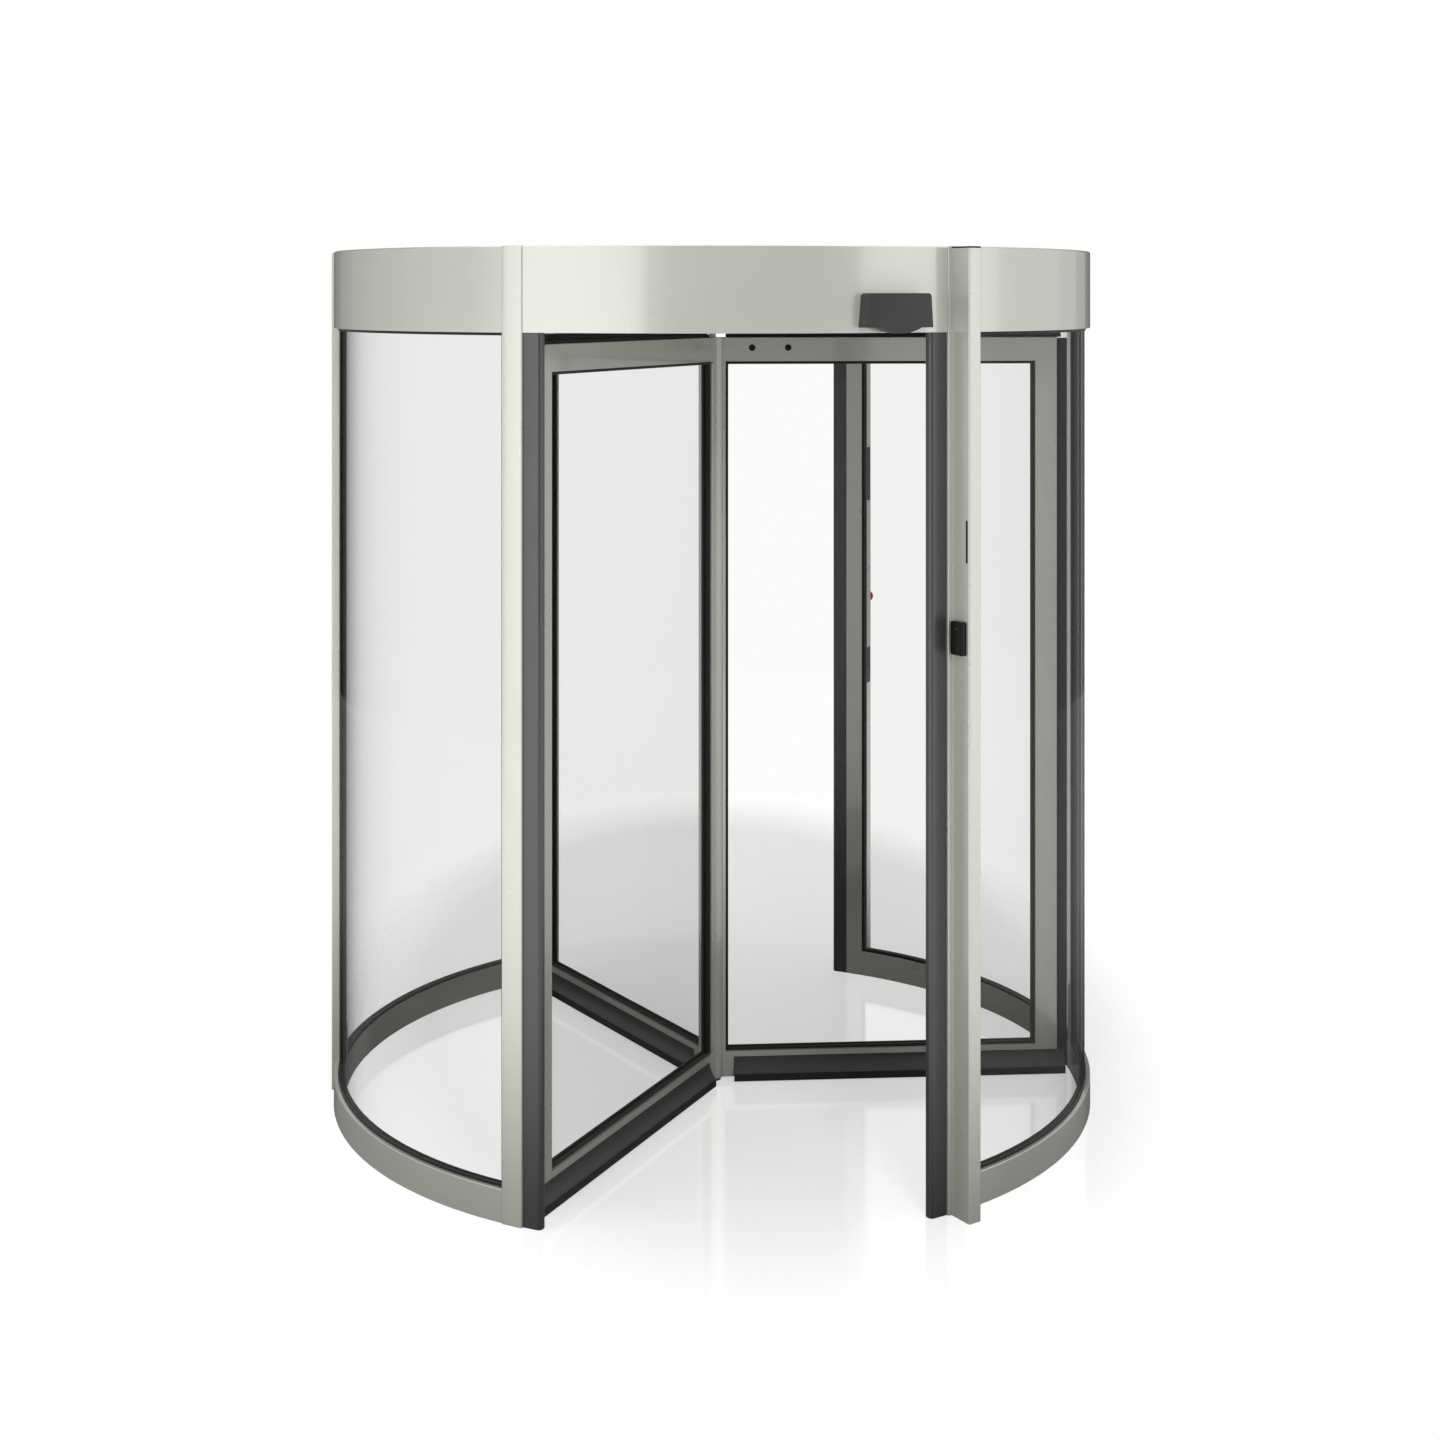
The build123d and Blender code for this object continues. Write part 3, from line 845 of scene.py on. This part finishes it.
@dataclass
class Workshop:
    """Makes meshes into dressed pieces of the door."""

    materials: dict[Slot, bpy.types.Material]
    slots: dict[str, Slot]
    bodies: dict[str, Body]
    crease_angle: float = math.radians(35.0)

    @classmethod
    def stocked(cls, finishes: Iterable[Finish]) -> "Workshop":
        """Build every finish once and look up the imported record.

        Args:
            finishes: The finishes to stock.

        Returns:
            A workshop that holds them.
        """
        record = frame["record"]
        slots = {row["node"]: Slot(row["material_slot"]) for row in record["subparts"]}
        groups = record["behaviour"]["bodies"].items()
        bodies = {node: Body(name) for name, nodes in groups for node in nodes}
        return cls({finish.slot: finish.material() for finish in finishes}, slots, bodies)

    def dress(self, *nodes: str) -> None:
        """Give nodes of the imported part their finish.

        Args:
            nodes: Names of the nodes.
        """
        for node in nodes:
            piece = frame["nodes"][node]
            piece.data.materials.clear()
            piece.data.materials.append(self.materials[self.slots[node]])
            log.info("dressed %s in %s", node, self.slots[node].value)

    def piece(self, name: str, stock: Stock, slot: Slot, body: Body) -> bpy.types.Object:
        """Make stock into a piece.

        Args:
            name: Name of the piece.
            stock: Its mesh, which is used up.
            slot: Material slot of its finish.
            body: Body that it rides on.

        Returns:
            The piece.
        """
        bmesh.ops.recalc_face_normals(stock.mesh, faces=stock.mesh.faces)
        mesh = bpy.data.meshes.new(name)
        stock.mesh.to_mesh(mesh)
        stock.mesh.free()
        mesh.materials.append(self.materials[slot])
        mesh.shade_smooth()
        mesh.set_sharp_from_angle(angle=self.crease_angle)
        piece = bpy.data.objects.new(name, mesh)
        bpy.context.scene.collection.objects.link(piece)
        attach(piece, body.value)
        log.info("made %s in %s", name, slot.value)
        return piece

    def in_place_of(self, node: str, name: str, stock: Stock) -> bpy.types.Object:
        """Make stock into a piece that stands for a node, in its finish and on its body.

        Args:
            node: The node that it stands for.
            name: Name of the piece.
            stock: Its mesh, which is used up.

        Returns:
            The piece.
        """
        piece = self.piece(name, stock, self.slots[node], self.bodies[node])
        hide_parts(node)
        return piece

    def eased(self, piece: bpy.types.Object, radius: float, segments: int = 2) -> None:
        """Round off the sharp edges of a piece.

        Args:
            piece: The piece.
            radius: How far the rounding reaches from the edge.
            segments: Steps in the rounding.
        """
        piece.data.shade_smooth()
        rounding = piece.modifiers.new("eased_edges", "BEVEL")
        rounding.width = radius
        rounding.segments = segments
        rounding.limit_method = "ANGLE"
        rounding.angle_limit = self.crease_angle
        rounding.harden_normals = True

    def eased_copies(self, radius: float, *nodes: str, segments: int = 2) -> None:
        """Put copies with rounded edges in place of nodes.

        Args:
            radius: How far the rounding reaches from the edge.
            nodes: The nodes to replace.
            segments: Steps in the rounding.
        """
        for node in nodes:
            self.eased(self.in_place_of(node, node + "_eased", Stock.of_node(node)), radius, segments)


@dataclass
class Canopy:
    """Fascias, head ring, ceiling and roof over the drum."""

    workshop: Workshop
    sheet_edge: float = 0.8 * MILLIMETRE

    def build(self) -> None:
        """Build and dress the canopy."""
        fascias = ("fascia_front", "fascia_rear", "fascia_left", "fascia_right")
        self.workshop.eased_copies(self.sheet_edge, *fascias)
        self.workshop.dress("head_ring", "ceiling", "canopy_roof")


@dataclass
class Walls:
    """Kerbs, curved panes, gaskets and mid-wall posts."""

    workshop: Workshop
    kerb_edge: float = 1.8 * MILLIMETRE
    post_edge: float = 1.0 * MILLIMETRE
    pane_edge: float = 0.8 * MILLIMETRE
    pane_steps: int = 120

    def build(self) -> None:
        """Build and dress both walls."""
        for side in Side:
            self.workshop.eased_copies(self.kerb_edge, "kerb_" + side.value)
            self.workshop.eased_copies(self.post_edge, "wall_post_" + side.value)
            self.build_panes("wall_glass_" + side.value)
        self.workshop.dress("wall_gaskets")

    def build_panes(self, node: str) -> None:
        """Bend the two curved panes of a wall in steps so fine that no facet shows in a reflection.

        Args:
            node: The node that holds both panes.
        """
        panes = Stock()
        for solid in Stock.of_node(node).solids():
            places = [vertex.co for vertex in solid.mesh.verts]
            radii = [place.xy.length for place in places]
            heights = [place.z for place in places]
            middle = sum(places, Vector()) / len(places)
            turn = math.atan2(middle.y, middle.x)
            inward = Matrix.Rotation(-turn, 4, "Z")
            bearings = [math.atan2(*(inward @ place).yx) for place in places]
            sector = (turn + min(bearings), turn + max(bearings))
            panes.taking(Stock.bent_pane(
                (min(radii), max(radii)),
                (min(heights), max(heights)),
                sector,
                self.pane_steps,
                self.pane_edge,
            ))
        self.workshop.in_place_of(node, node + "_bent", panes)


@dataclass
class Entrances:
    """Throat posts and rubber safety edges beside both openings, and the motion sensors over them."""

    workshop: Workshop
    post_edge: float = 1.0 * MILLIMETRE
    rubber_edge: float = 1.5 * MILLIMETRE
    sensor_edge: float = 2.2 * MILLIMETRE
    sensor_segments: int = 3

    def build(self) -> None:
        """Build and dress both entrances."""
        for quarter in Quarter:
            self.workshop.eased_copies(self.post_edge, "throat_post_" + quarter.value)
            self.workshop.eased_copies(self.rubber_edge, "safety_edge_" + quarter.value)
        self.workshop.eased_copies(self.sensor_edge, "motion_sensors", segments=self.sensor_segments)


@dataclass
class DevicePosts:
    """The two device posts with the card reader, the operating panels and the emergency button."""

    workshop: Workshop
    post_edge: float = 0.6 * MILLIMETRE
    cap_edge: float = 1.2 * MILLIMETRE
    reader_edge: float = 0.9 * MILLIMETRE
    panel_edge: float = 0.4 * MILLIMETRE
    plate_margin: float = 3.4 * MILLIMETRE
    plate_thickness: float = 0.6 * MILLIMETRE
    plate_rounding: float = 3.0 * MILLIMETRE
    plate_gap: float = 1.0 * MILLIMETRE
    upper_plate_share: float = 0.34
    lamp_radius: float = 1.8 * MILLIMETRE
    lamp_height: float = 1.0 * MILLIMETRE
    lamp_fullness: float = 1.0
    bezel_overlap: float = 1.0 * MILLIMETRE
    bezel_thickness: float = 0.5 * MILLIMETRE
    collar_edge: float = 1.2 * MILLIMETRE
    stem_end: float = 1.0 * MILLIMETRE
    rim_share: float = 0.3
    underside_share: float = 0.12
    dome_fullness: float = 1.8
    turning_steps: int = 48

    def build(self) -> None:
        """Build and dress the device posts and what they carry."""
        self.workshop.eased_copies(self.post_edge, "device_post_front", "device_post_rear")
        self.workshop.eased_copies(self.cap_edge, "device_post_caps")
        self.workshop.eased_copies(self.reader_edge, "card_reader")
        self.workshop.eased_copies(self.panel_edge, "black_panels")
        self.workshop.eased_copies(self.collar_edge, "emergency_collar")
        self.build_reader_face()
        self.build_slot_bezel()
        self.build_button()

    def rear_axes(self) -> Matrix:
        """Frame with X out through the rear post, along the button's axis, and Z up."""
        press = next(joint for joint in frame["joints"] if joint["name"] == "button_press")
        return Matrix.Rotation(math.atan2(-press["axis"][1], -press["axis"][0]), 4, "Z")

    def front_face(self, stock: Stock) -> tuple[Matrix, float, float]:
        """Find the face of what the front post carries that looks towards someone on their way in.

        Args:
            stock: What the post carries.

        Returns:
            A frame in the middle of the face, with Y up and Z out of it, and the face's width and height.
        """
        axes = self.rear_axes().inverted()
        low, high = stock.extent(axes)
        middle = (low + high) / 2
        place = axes @ Matrix.Translation((middle.x, low.y, middle.z))
        return place @ Matrix.Rotation(QUARTER_TURN, 4, "X"), high.x - low.x, high.z - low.z

    def build_reader_face(self) -> None:
        """Put the two face plates and the indicator lamp on the card reader."""
        face, width, height = self.front_face(Stock.of_node("card_reader"))
        width -= 2 * self.plate_margin
        height -= 2 * self.plate_margin
        upper = height * self.upper_plate_share
        lower = height - upper - self.plate_gap
        upper_place = face @ Matrix.Translation((0.0, (height - upper) / 2, 0.0))
        lower_place = face @ Matrix.Translation((0.0, (lower - height) / 2, 0.0))
        plates = Stock()
        for size, place in ((upper, upper_place), (lower, lower_place)):
            outline = rounded_rectangle(width, size, self.plate_rounding)
            plates.taking(Stock.prism(outline, 0.0, self.plate_thickness).moved(place))
        self.workshop.piece("card_reader_face", plates, Slot.BLACK_PLASTIC, Body.DRUM)
        top = dome(self.lamp_radius, self.plate_thickness, self.lamp_height, self.lamp_fullness)
        lamp = Stock.lathe([(0.0, 0.0)] + top, self.turning_steps).moved(upper_place)
        self.workshop.piece("card_reader_lamp", lamp, Slot.RED_PLASTIC, Body.DRUM)

    def build_slot_bezel(self) -> None:
        """Set a round-ended bezel over the window of the indicator slot, the only panel at the front."""
        panels = Stock.of_node("black_panels").solids()
        window = next(panel for panel in panels if panel.extent(Matrix.Identity(4))[1].y < 0.0)
        face, width, height = self.front_face(window)
        width += 2 * self.bezel_overlap
        height += 2 * self.bezel_overlap
        bezel = Stock.prism(rounded_rectangle(width, height, width / 2), 0.0, self.bezel_thickness)
        self.workshop.piece("slot_bezel", bezel.moved(face), Slot.BLACK_PLASTIC, Body.DRUM)

    def build_button(self) -> None:
        """Turn the mushroom head and stem of the emergency button."""
        axes = self.rear_axes()
        stock = Stock.of_node("emergency_button")
        low, high = stock.extent(axes)
        head_back = stock.levels(axes, 0)[1]
        middle = (low + high) / 2
        head_radius = (high.z - low.z) / 2
        inward = axes.inverted()
        places = [inward @ vertex.co for vertex in stock.mesh.verts]
        stem_radius = max(place.z for place in places if place.x < low.x + self.stem_end) - middle.z
        thickness = high.x - head_back
        rim = head_back + thickness * self.rim_share
        under = head_back + thickness * self.underside_share
        profile = [
            (0.0, low.x),
            (stem_radius, low.x),
            (stem_radius, head_back),
            (head_radius - thickness * self.underside_share, head_back),
            (head_radius, under),
        ]
        profile += dome(head_radius, rim, high.x, self.dome_fullness)
        place = axes @ Matrix.Translation((0.0, middle.y, middle.z)) @ Matrix.Rotation(QUARTER_TURN, 4, "Y")
        button = Stock.lathe(profile, self.turning_steps).moved(place)
        self.workshop.in_place_of("emergency_button", "emergency_button_turned", button)


@dataclass
class Rotor:
    """Column and glazed wings, with their gaskets, seals, skirts and plugs."""

    workshop: Workshop
    frame_edge: float = 0.8 * MILLIMETRE
    gasket_edge: float = 2.5 * MILLIMETRE
    gasket_segments: int = 3
    skirt_edge: float = 0.6 * MILLIMETRE
    lip_edge: float = 1.2 * MILLIMETRE
    plug_rim_share: float = 0.45
    plug_fullness: float = 2.5
    plug_dimple_share: float = 0.28
    plug_steps: int = 32
    bristle_pitch: float = 1.5 * MILLIMETRE
    bristle_width: float = 1.1 * MILLIMETRE
    bristle_tip_share: float = 0.7
    bristle_rows: int = 4
    bristle_lean: float = 0.5 * MILLIMETRE
    bristle_unevenness: float = 1.0 * MILLIMETRE
    web_share: float = 0.3
    web_height_share: float = 0.8
    bristle_seed: int = 7

    def build(self) -> None:
        """Build and dress the rotor."""
        self.workshop.dress("rotor_column", "rotor_bearings")
        for wing in Wing:
            self.workshop.eased_copies(self.frame_edge, wing.node("frame"))
            self.workshop.eased_copies(self.skirt_edge, wing.node("floor_skirts"))
            self.workshop.dress(wing.node("glass"))
            self.build_seals(wing)
        self.workshop.eased_copies(self.gasket_edge, "wing_gaskets", segments=self.gasket_segments)
        self.build_plugs()

    def build_seals(self, wing: Wing) -> None:
        """Make the lip seal of a wing's outer stile and the brush seal of its top rail.

        Args:
            wing: The wing to seal.
        """
        axes = wing.axes()
        node = wing.node("edge_seals")
        lip, top = sorted(Stock.of_node(node).solids(), key=lambda solid: solid.extent(axes)[0].z)
        low, high = top.extent(axes)
        holder_top = top.levels(axes, 2)[1]
        brush_half = [value for value in top.levels(axes, 1) if value > 0][0]
        ends = ((low.x, low.y), (high.x, low.y), (high.x, high.y), (low.x, high.y))
        lip.taking(Stock.prism(ends, low.z, holder_top).moved(axes))
        self.workshop.eased(self.workshop.in_place_of(node, wing.node("lip_seal"), lip), self.lip_edge)
        brush = self.brush((low.x, high.x), brush_half, (holder_top, high.z)).moved(axes)
        self.workshop.piece(wing.node("top_brush"), brush, Slot.SEAL_RUBBER, Body.ROTOR)

    def brush(self, along: Point, half_width: float, heights: Point) -> Stock:
        """Plant rows of bristles on both sides of a thin web.

        Args:
            along: Start and end of the brush along X.
            half_width: Half of its width along Y.
            heights: Bottom and top of the bristles.

        Returns:
            The brush, along X.
        """
        bottom, top = heights
        web = half_width * self.web_share
        outline = ((along[0], -web), (along[1], -web), (along[1], web), (along[0], web))
        stock = Stock.prism(outline, bottom, bottom + (top - bottom) * self.web_height_share)
        chance = random.Random(self.bristle_seed)
        count = int((along[1] - along[0]) / self.bristle_pitch)
        row_step = 2 * (half_width - self.bristle_width) / (self.bristle_rows - 1)
        for row in range(self.bristle_rows):
            across = self.bristle_width - half_width + row * row_step
            shift = self.bristle_pitch * (row % 2) / 2
            for index in range(count):
                start = along[0] + shift + (index + 0.5) * self.bristle_pitch
                lean = (chance.uniform(-1, 1) * self.bristle_lean, chance.uniform(-1, 1) * self.bristle_lean)
                tip = top - chance.random() * self.bristle_unevenness
                self.plant_bristle(stock, (start, across), lean, (bottom, tip))
        return stock

    def plant_bristle(self, stock: Stock, root: Point, lean: Point, heights: Point) -> None:
        """Add one square bristle that narrows a little towards its tip.

        Args:
            stock: The stock to add it to.
            root: Middle of its root.
            lean: How far its tip leans from its root.
            heights: Heights of its root and tip.
        """
        half = self.bristle_width / 2
        corners = ((-half, -half), (half, -half), (half, half), (-half, half))
        rings = []
        tip = (root[0] + lean[0], root[1] + lean[1])
        ends = ((root, 1.0, heights[0]), (tip, self.bristle_tip_share, heights[1]))
        for (across, along), share, height in ends:
            places = [(across + x * share, along + y * share, height) for x, y in corners]
            rings.append([stock.mesh.verts.new(place) for place in places])
        for index in range(len(corners)):
            side = (rings[0][index - 1], rings[0][index], rings[1][index], rings[1][index - 1])
            stock.mesh.faces.new(side)
        stock.mesh.faces.new(rings[1])

    def build_plugs(self) -> None:
        """Turn the round plugs of the top rails, slightly domed and dimpled in the middle."""
        plugs = Stock()
        solids = Stock.of_node("rail_plugs").solids()
        for wing in Wing:
            axes = wing.axes()
            for solid in solids:
                low, high = solid.extent(axes)
                radius = (high.z - low.z) / 2
                proud = high.y - low.y
                if low.x < 0 or proud > radius:
                    continue
                rim = proud * self.plug_rim_share
                dimple = radius * self.plug_dimple_share
                top = dome(radius, rim, proud, self.plug_fullness)
                profile = [(0.0, 0.0), (radius, 0.0)]
                profile += [point for point in top if point[0] > dimple]
                profile += [(dimple, proud), (0.0, rim)]
                middle = (low + high) / 2
                seat = axes @ Matrix.Translation((middle.x, high.y, middle.z))
                plug = Stock.lathe(profile, self.plug_steps)
                plugs.taking(plug.moved(seat @ Matrix.Rotation(QUARTER_TURN, 4, "X")))
        self.workshop.in_place_of("rail_plugs", "rail_plugs_turned", plugs)


@dataclass(frozen=True, kw_only=True)
class SoftBox:
    """Soft box that lights the door and that the camera doesn't show.

    Its bearing is counted from the front, in degrees to the right, and its height is that of its middle.
    """

    name: str
    bearing: float
    distance: float
    width: float
    length: float
    height: float
    aim_height: float
    radiance: float
    mirrored: bool = True

    def build(self) -> None:
        """Add the lamp and aim it at the rotor's axis."""
        lamp = bpy.data.lights.new(self.name, "AREA")
        lamp.shape = "RECTANGLE"
        lamp.size = self.width
        lamp.size_y = self.length
        lamp.energy = self.radiance * math.pi * self.width * self.length
        box = bpy.data.objects.new(self.name, lamp)
        turn = math.radians(self.bearing)
        box.location = (self.distance * math.sin(turn), -self.distance * math.cos(turn), self.height)
        sight = Vector((0.0, 0.0, self.aim_height)) - box.location
        box.rotation_euler = sight.to_track_quat("-Z", "Y").to_euler()
        box.visible_camera = False
        box.visible_glossy = self.mirrored
        bpy.context.scene.collection.objects.link(box)


@dataclass(frozen=True, kw_only=True)
class Card:
    """Grey curved card that only reflections show, as is hung beside glass in a studio.

    It hangs between two bearings from the front, in degrees to the right.
    """

    name: str
    start: float
    end: float
    level: float
    distance: float = 6.2
    top: float = 8.0
    steps: int = 24

    def build(self) -> None:
        """Hang the card."""
        shape = bmesh.new()
        columns = []
        for step in range(self.steps + 1):
            turn = math.radians(self.start + (self.end - self.start) * step / self.steps)
            across, along = self.distance * math.sin(turn), -self.distance * math.cos(turn)
            columns.append([shape.verts.new((across, along, height)) for height in (0.0, self.top)])
        for left, right in zip(columns, columns[1:]):
            shape.faces.new((left[0], right[0], right[1], left[1]))
        mesh = bpy.data.meshes.new(self.name)
        shape.to_mesh(mesh)
        shape.free()
        mesh.materials.append(self.material())
        card = bpy.data.objects.new(self.name, mesh)
        bpy.context.scene.collection.objects.link(card)
        card.visible_camera = False
        card.visible_diffuse = False
        card.visible_shadow = False

    def material(self) -> bpy.types.Material:
        """Build a finish that glows in reflections and is clear to everything else.

        Returns:
            The finish as a material.
        """
        graph = ShaderGraph.of_finish(self.name)
        graph.owner.cycles.emission_sampling = "NONE"
        mirrorings = graph.add("ShaderNodeLightPath").outputs["Glossy Depth"]
        graph.mixed(graph.ranged(mirrorings, UNIT, UNIT), graph.transparent(), graph.glow(self.level))
        return graph.owner


@dataclass(frozen=True)
class Studio:
    """White studio with soft boxes, grey cards, a glossy floor and the camera.

    The floor fades out into the white behind it between two distances from the middle of the fade, counted
    with X stretched. To light that bounces, it is darker near the rotor's axis, a painted shade round the
    foot of the door, and grows paler between two distances from the rotor's axis.
    """

    camera_place: tuple[float, float, float] = (-0.367, -5.853, 2.1887)
    camera_turn: float = -3.8
    focal_pixels: float = 2099.0
    picture_pixels: float = 1440.0
    horizon_row: float = 295.0
    sensor: float = 36.0
    floor_radius: float = 6.0
    floor_steps: int = 128
    fade_reach: Point = (1.85, 2.55)
    fade_middle: Point = (0.12, 0.9)
    fade_stretch: float = 1.88
    floor_colour: float = 0.8
    floor_glow: float = 0.52
    floor_roughness: float = 0.1
    floor_index: float = 4.5
    # painted shade: bounced light sees the floor dark near the rotor's axis, and paler and glowing farther out
    bounce_reach: Point = (1.2, 2.5)
    bounce_colours: Point = (0.12, 0.8)
    bounce_glows: Point = (0.02, 0.5)
    bounce_index: float = 1.45
    sky_level: float = 0.2
    ground_level: float = 0.22
    horizon_slopes: Point = (-0.1, 0.6)
    first_bounce: float = 0.5
    soft_boxes: tuple[SoftBox, ...] = (
        SoftBox(
            name="left_box", bearing=-40.6, distance=5.0, width=3.7, length=3.6,
            height=1.8, aim_height=1.8, radiance=0.74,
        ),
        SoftBox(
            name="left_fill", bearing=-62.0, distance=5.0, width=3.0, length=2.8,
            height=1.6, aim_height=1.6, radiance=2.4, mirrored=False,
        ),
        SoftBox(
            name="right_box", bearing=57.0, distance=5.0, width=4.2, length=3.6,
            height=1.8, aim_height=1.8, radiance=0.5,
        ),
        SoftBox(
            name="rear_wall", bearing=180.0, distance=5.5, width=6.0, length=3.4,
            height=1.7, aim_height=1.7, radiance=0.2, mirrored=False,
        ),
        SoftBox(
            name="top_box", bearing=0.0, distance=0.0, width=5.0, length=5.0,
            height=5.2, aim_height=1.0, radiance=1.2,
        ),
        SoftBox(
            name="key_box", bearing=12.0, distance=7.5, width=2.2, length=2.2,
            height=4.9, aim_height=1.0, radiance=14.5, mirrored=False,
        ),
    )
    cards: tuple[Card, ...] = (
        Card(name="far_left_card", start=-180.0, end=-142.0, level=0.1),
        Card(name="dark_left_card", start=-142.0, end=-130.0, level=0.2),
        Card(name="dim_left_card", start=-130.0, end=-116.0, level=0.32),
        Card(name="mid_left_card", start=-116.0, end=-98.0, level=0.42),
        Card(name="left_card", start=-98.0, end=-60.0, level=0.5),
        Card(name="front_card", start=-22.0, end=36.0, level=0.42),
        Card(name="pale_card", start=78.0, end=112.0, level=0.8),
        Card(name="mid_right_card", start=112.0, end=126.0, level=0.6),
        Card(name="dim_right_card", start=126.0, end=138.0, level=0.35),
        Card(name="far_right_card", start=138.0, end=180.0, level=0.06),
    )

    def build(self) -> None:
        """Build everything round the door."""
        self.build_camera()
        self.build_world()
        self.build_floor()
        for item in self.soft_boxes + self.cards:
            item.build()
        bpy.context.scene.view_settings.view_transform = "Standard"

    def build_camera(self) -> None:
        """Place the camera at the photograph's point of view."""
        lens = bpy.data.cameras.new("camera")
        lens.sensor_width = self.sensor
        lens.lens = self.focal_pixels / self.picture_pixels * self.sensor
        lens.shift_y = (self.horizon_row - self.picture_pixels / 2) / self.picture_pixels
        camera = bpy.data.objects.new("camera", lens)
        camera.location = self.camera_place
        camera.rotation_euler = (QUARTER_TURN, 0.0, math.radians(self.camera_turn))
        bpy.context.scene.collection.objects.link(camera)
        bpy.context.scene.camera = camera

    def build_world(self) -> None:
        """Light the door from all round, and show white behind it."""
        graph = ShaderGraph(bpy.data.worlds.new("studio"), "ShaderNodeOutputWorld")
        bpy.context.scene.world = graph.owner
        lighting, shown = (graph.add("ShaderNodeBackground") for _ in range(2))
        shown.inputs["Color"].default_value = (*WHITE, 1.0)
        slope = graph.upward(graph.add("ShaderNodeTexCoord").outputs["Generated"])
        level = graph.ranged(slope, self.horizon_slopes, (self.ground_level, self.sky_level))
        graph.join(level, lighting.inputs["Strength"])
        bounces = graph.add("ShaderNodeLightPath").outputs["Diffuse Depth"]
        graph.mixed(graph.calculated("LESS_THAN", bounces, self.first_bounce), lighting, shown)

    def build_floor(self) -> None:
        """Lay the floor."""
        mesh = bpy.data.meshes.new("floor")
        shape = bmesh.new()
        bmesh.ops.create_circle(shape, cap_ends=True, radius=self.floor_radius, segments=self.floor_steps)
        shape.to_mesh(mesh)
        shape.free()
        mesh.materials.append(self.floor_material())
        floor = bpy.data.objects.new("floor", mesh)
        bpy.context.scene.collection.objects.link(floor)

    def floor_material(self) -> bpy.types.Material:
        """Build a glossy pale finish that fades into the white behind it and throws little light back up, least
        near the door, a painted shade there.

        Returns:
            The finish as a material.
        """
        graph = ShaderGraph.of_finish("floor")
        graph.owner.cycles.emission_sampling = "NONE"
        shader = graph.surface({"Roughness": self.floor_roughness, "Emission Color": WHITE})
        path = graph.add("ShaderNodeLightPath")
        bounces = graph.calculated("ADD", path.outputs["Diffuse Depth"], path.outputs["Glossy Depth"])
        seen = graph.ranged(bounces, UNIT, (1.0, 0.0))
        away = graph.add("ShaderNodeVectorMath", operation="LENGTH")
        graph.join(graph.place(), away.inputs[0])
        # painted shade: for bounced light the floor's colour and glow are lower near the rotor's axis
        for name, bounced, shown in (
            ("Base Color", self.bounce_colours, self.floor_colour),
            ("Emission Strength", self.bounce_glows, self.floor_glow),
            ("IOR", (self.bounce_index, self.bounce_index), self.floor_index),
        ):
            choice = graph.add("ShaderNodeMix", data_type="FLOAT")
            graph.join(seen, choice.inputs["Factor"])
            graph.join(graph.ranged(away.outputs["Value"], self.bounce_reach, bounced), choice.inputs["A"])
            choice.inputs["B"].default_value = shown
            graph.join(choice.outputs["Result"], shader.inputs[name])
        across, along = self.fade_middle
        behind = graph.add("ShaderNodeVectorMath", operation="DISTANCE")
        graph.join(graph.place((self.fade_stretch, 1.0, 1.0)), behind.inputs[0])
        behind.inputs[1].default_value = (across * self.fade_stretch, along, 0.0)
        fade = graph.ranged(behind.outputs["Value"], self.fade_reach, UNIT)
        graph.mixed(graph.calculated("MULTIPLY", fade, seen), shader, graph.transparent())
        return graph.owner


def main() -> None:
    """Build the studio and the door, piece by piece."""
    logging.basicConfig(level=logging.INFO, format="%(name)s: %(message)s")
    Studio().build()
    workshop = Workshop.stocked(FINISHES)
    for assembly in (Canopy, Walls, Entrances, DevicePosts, Rotor):
        assembly(workshop).build()


if __name__ == "__main__":
    main()
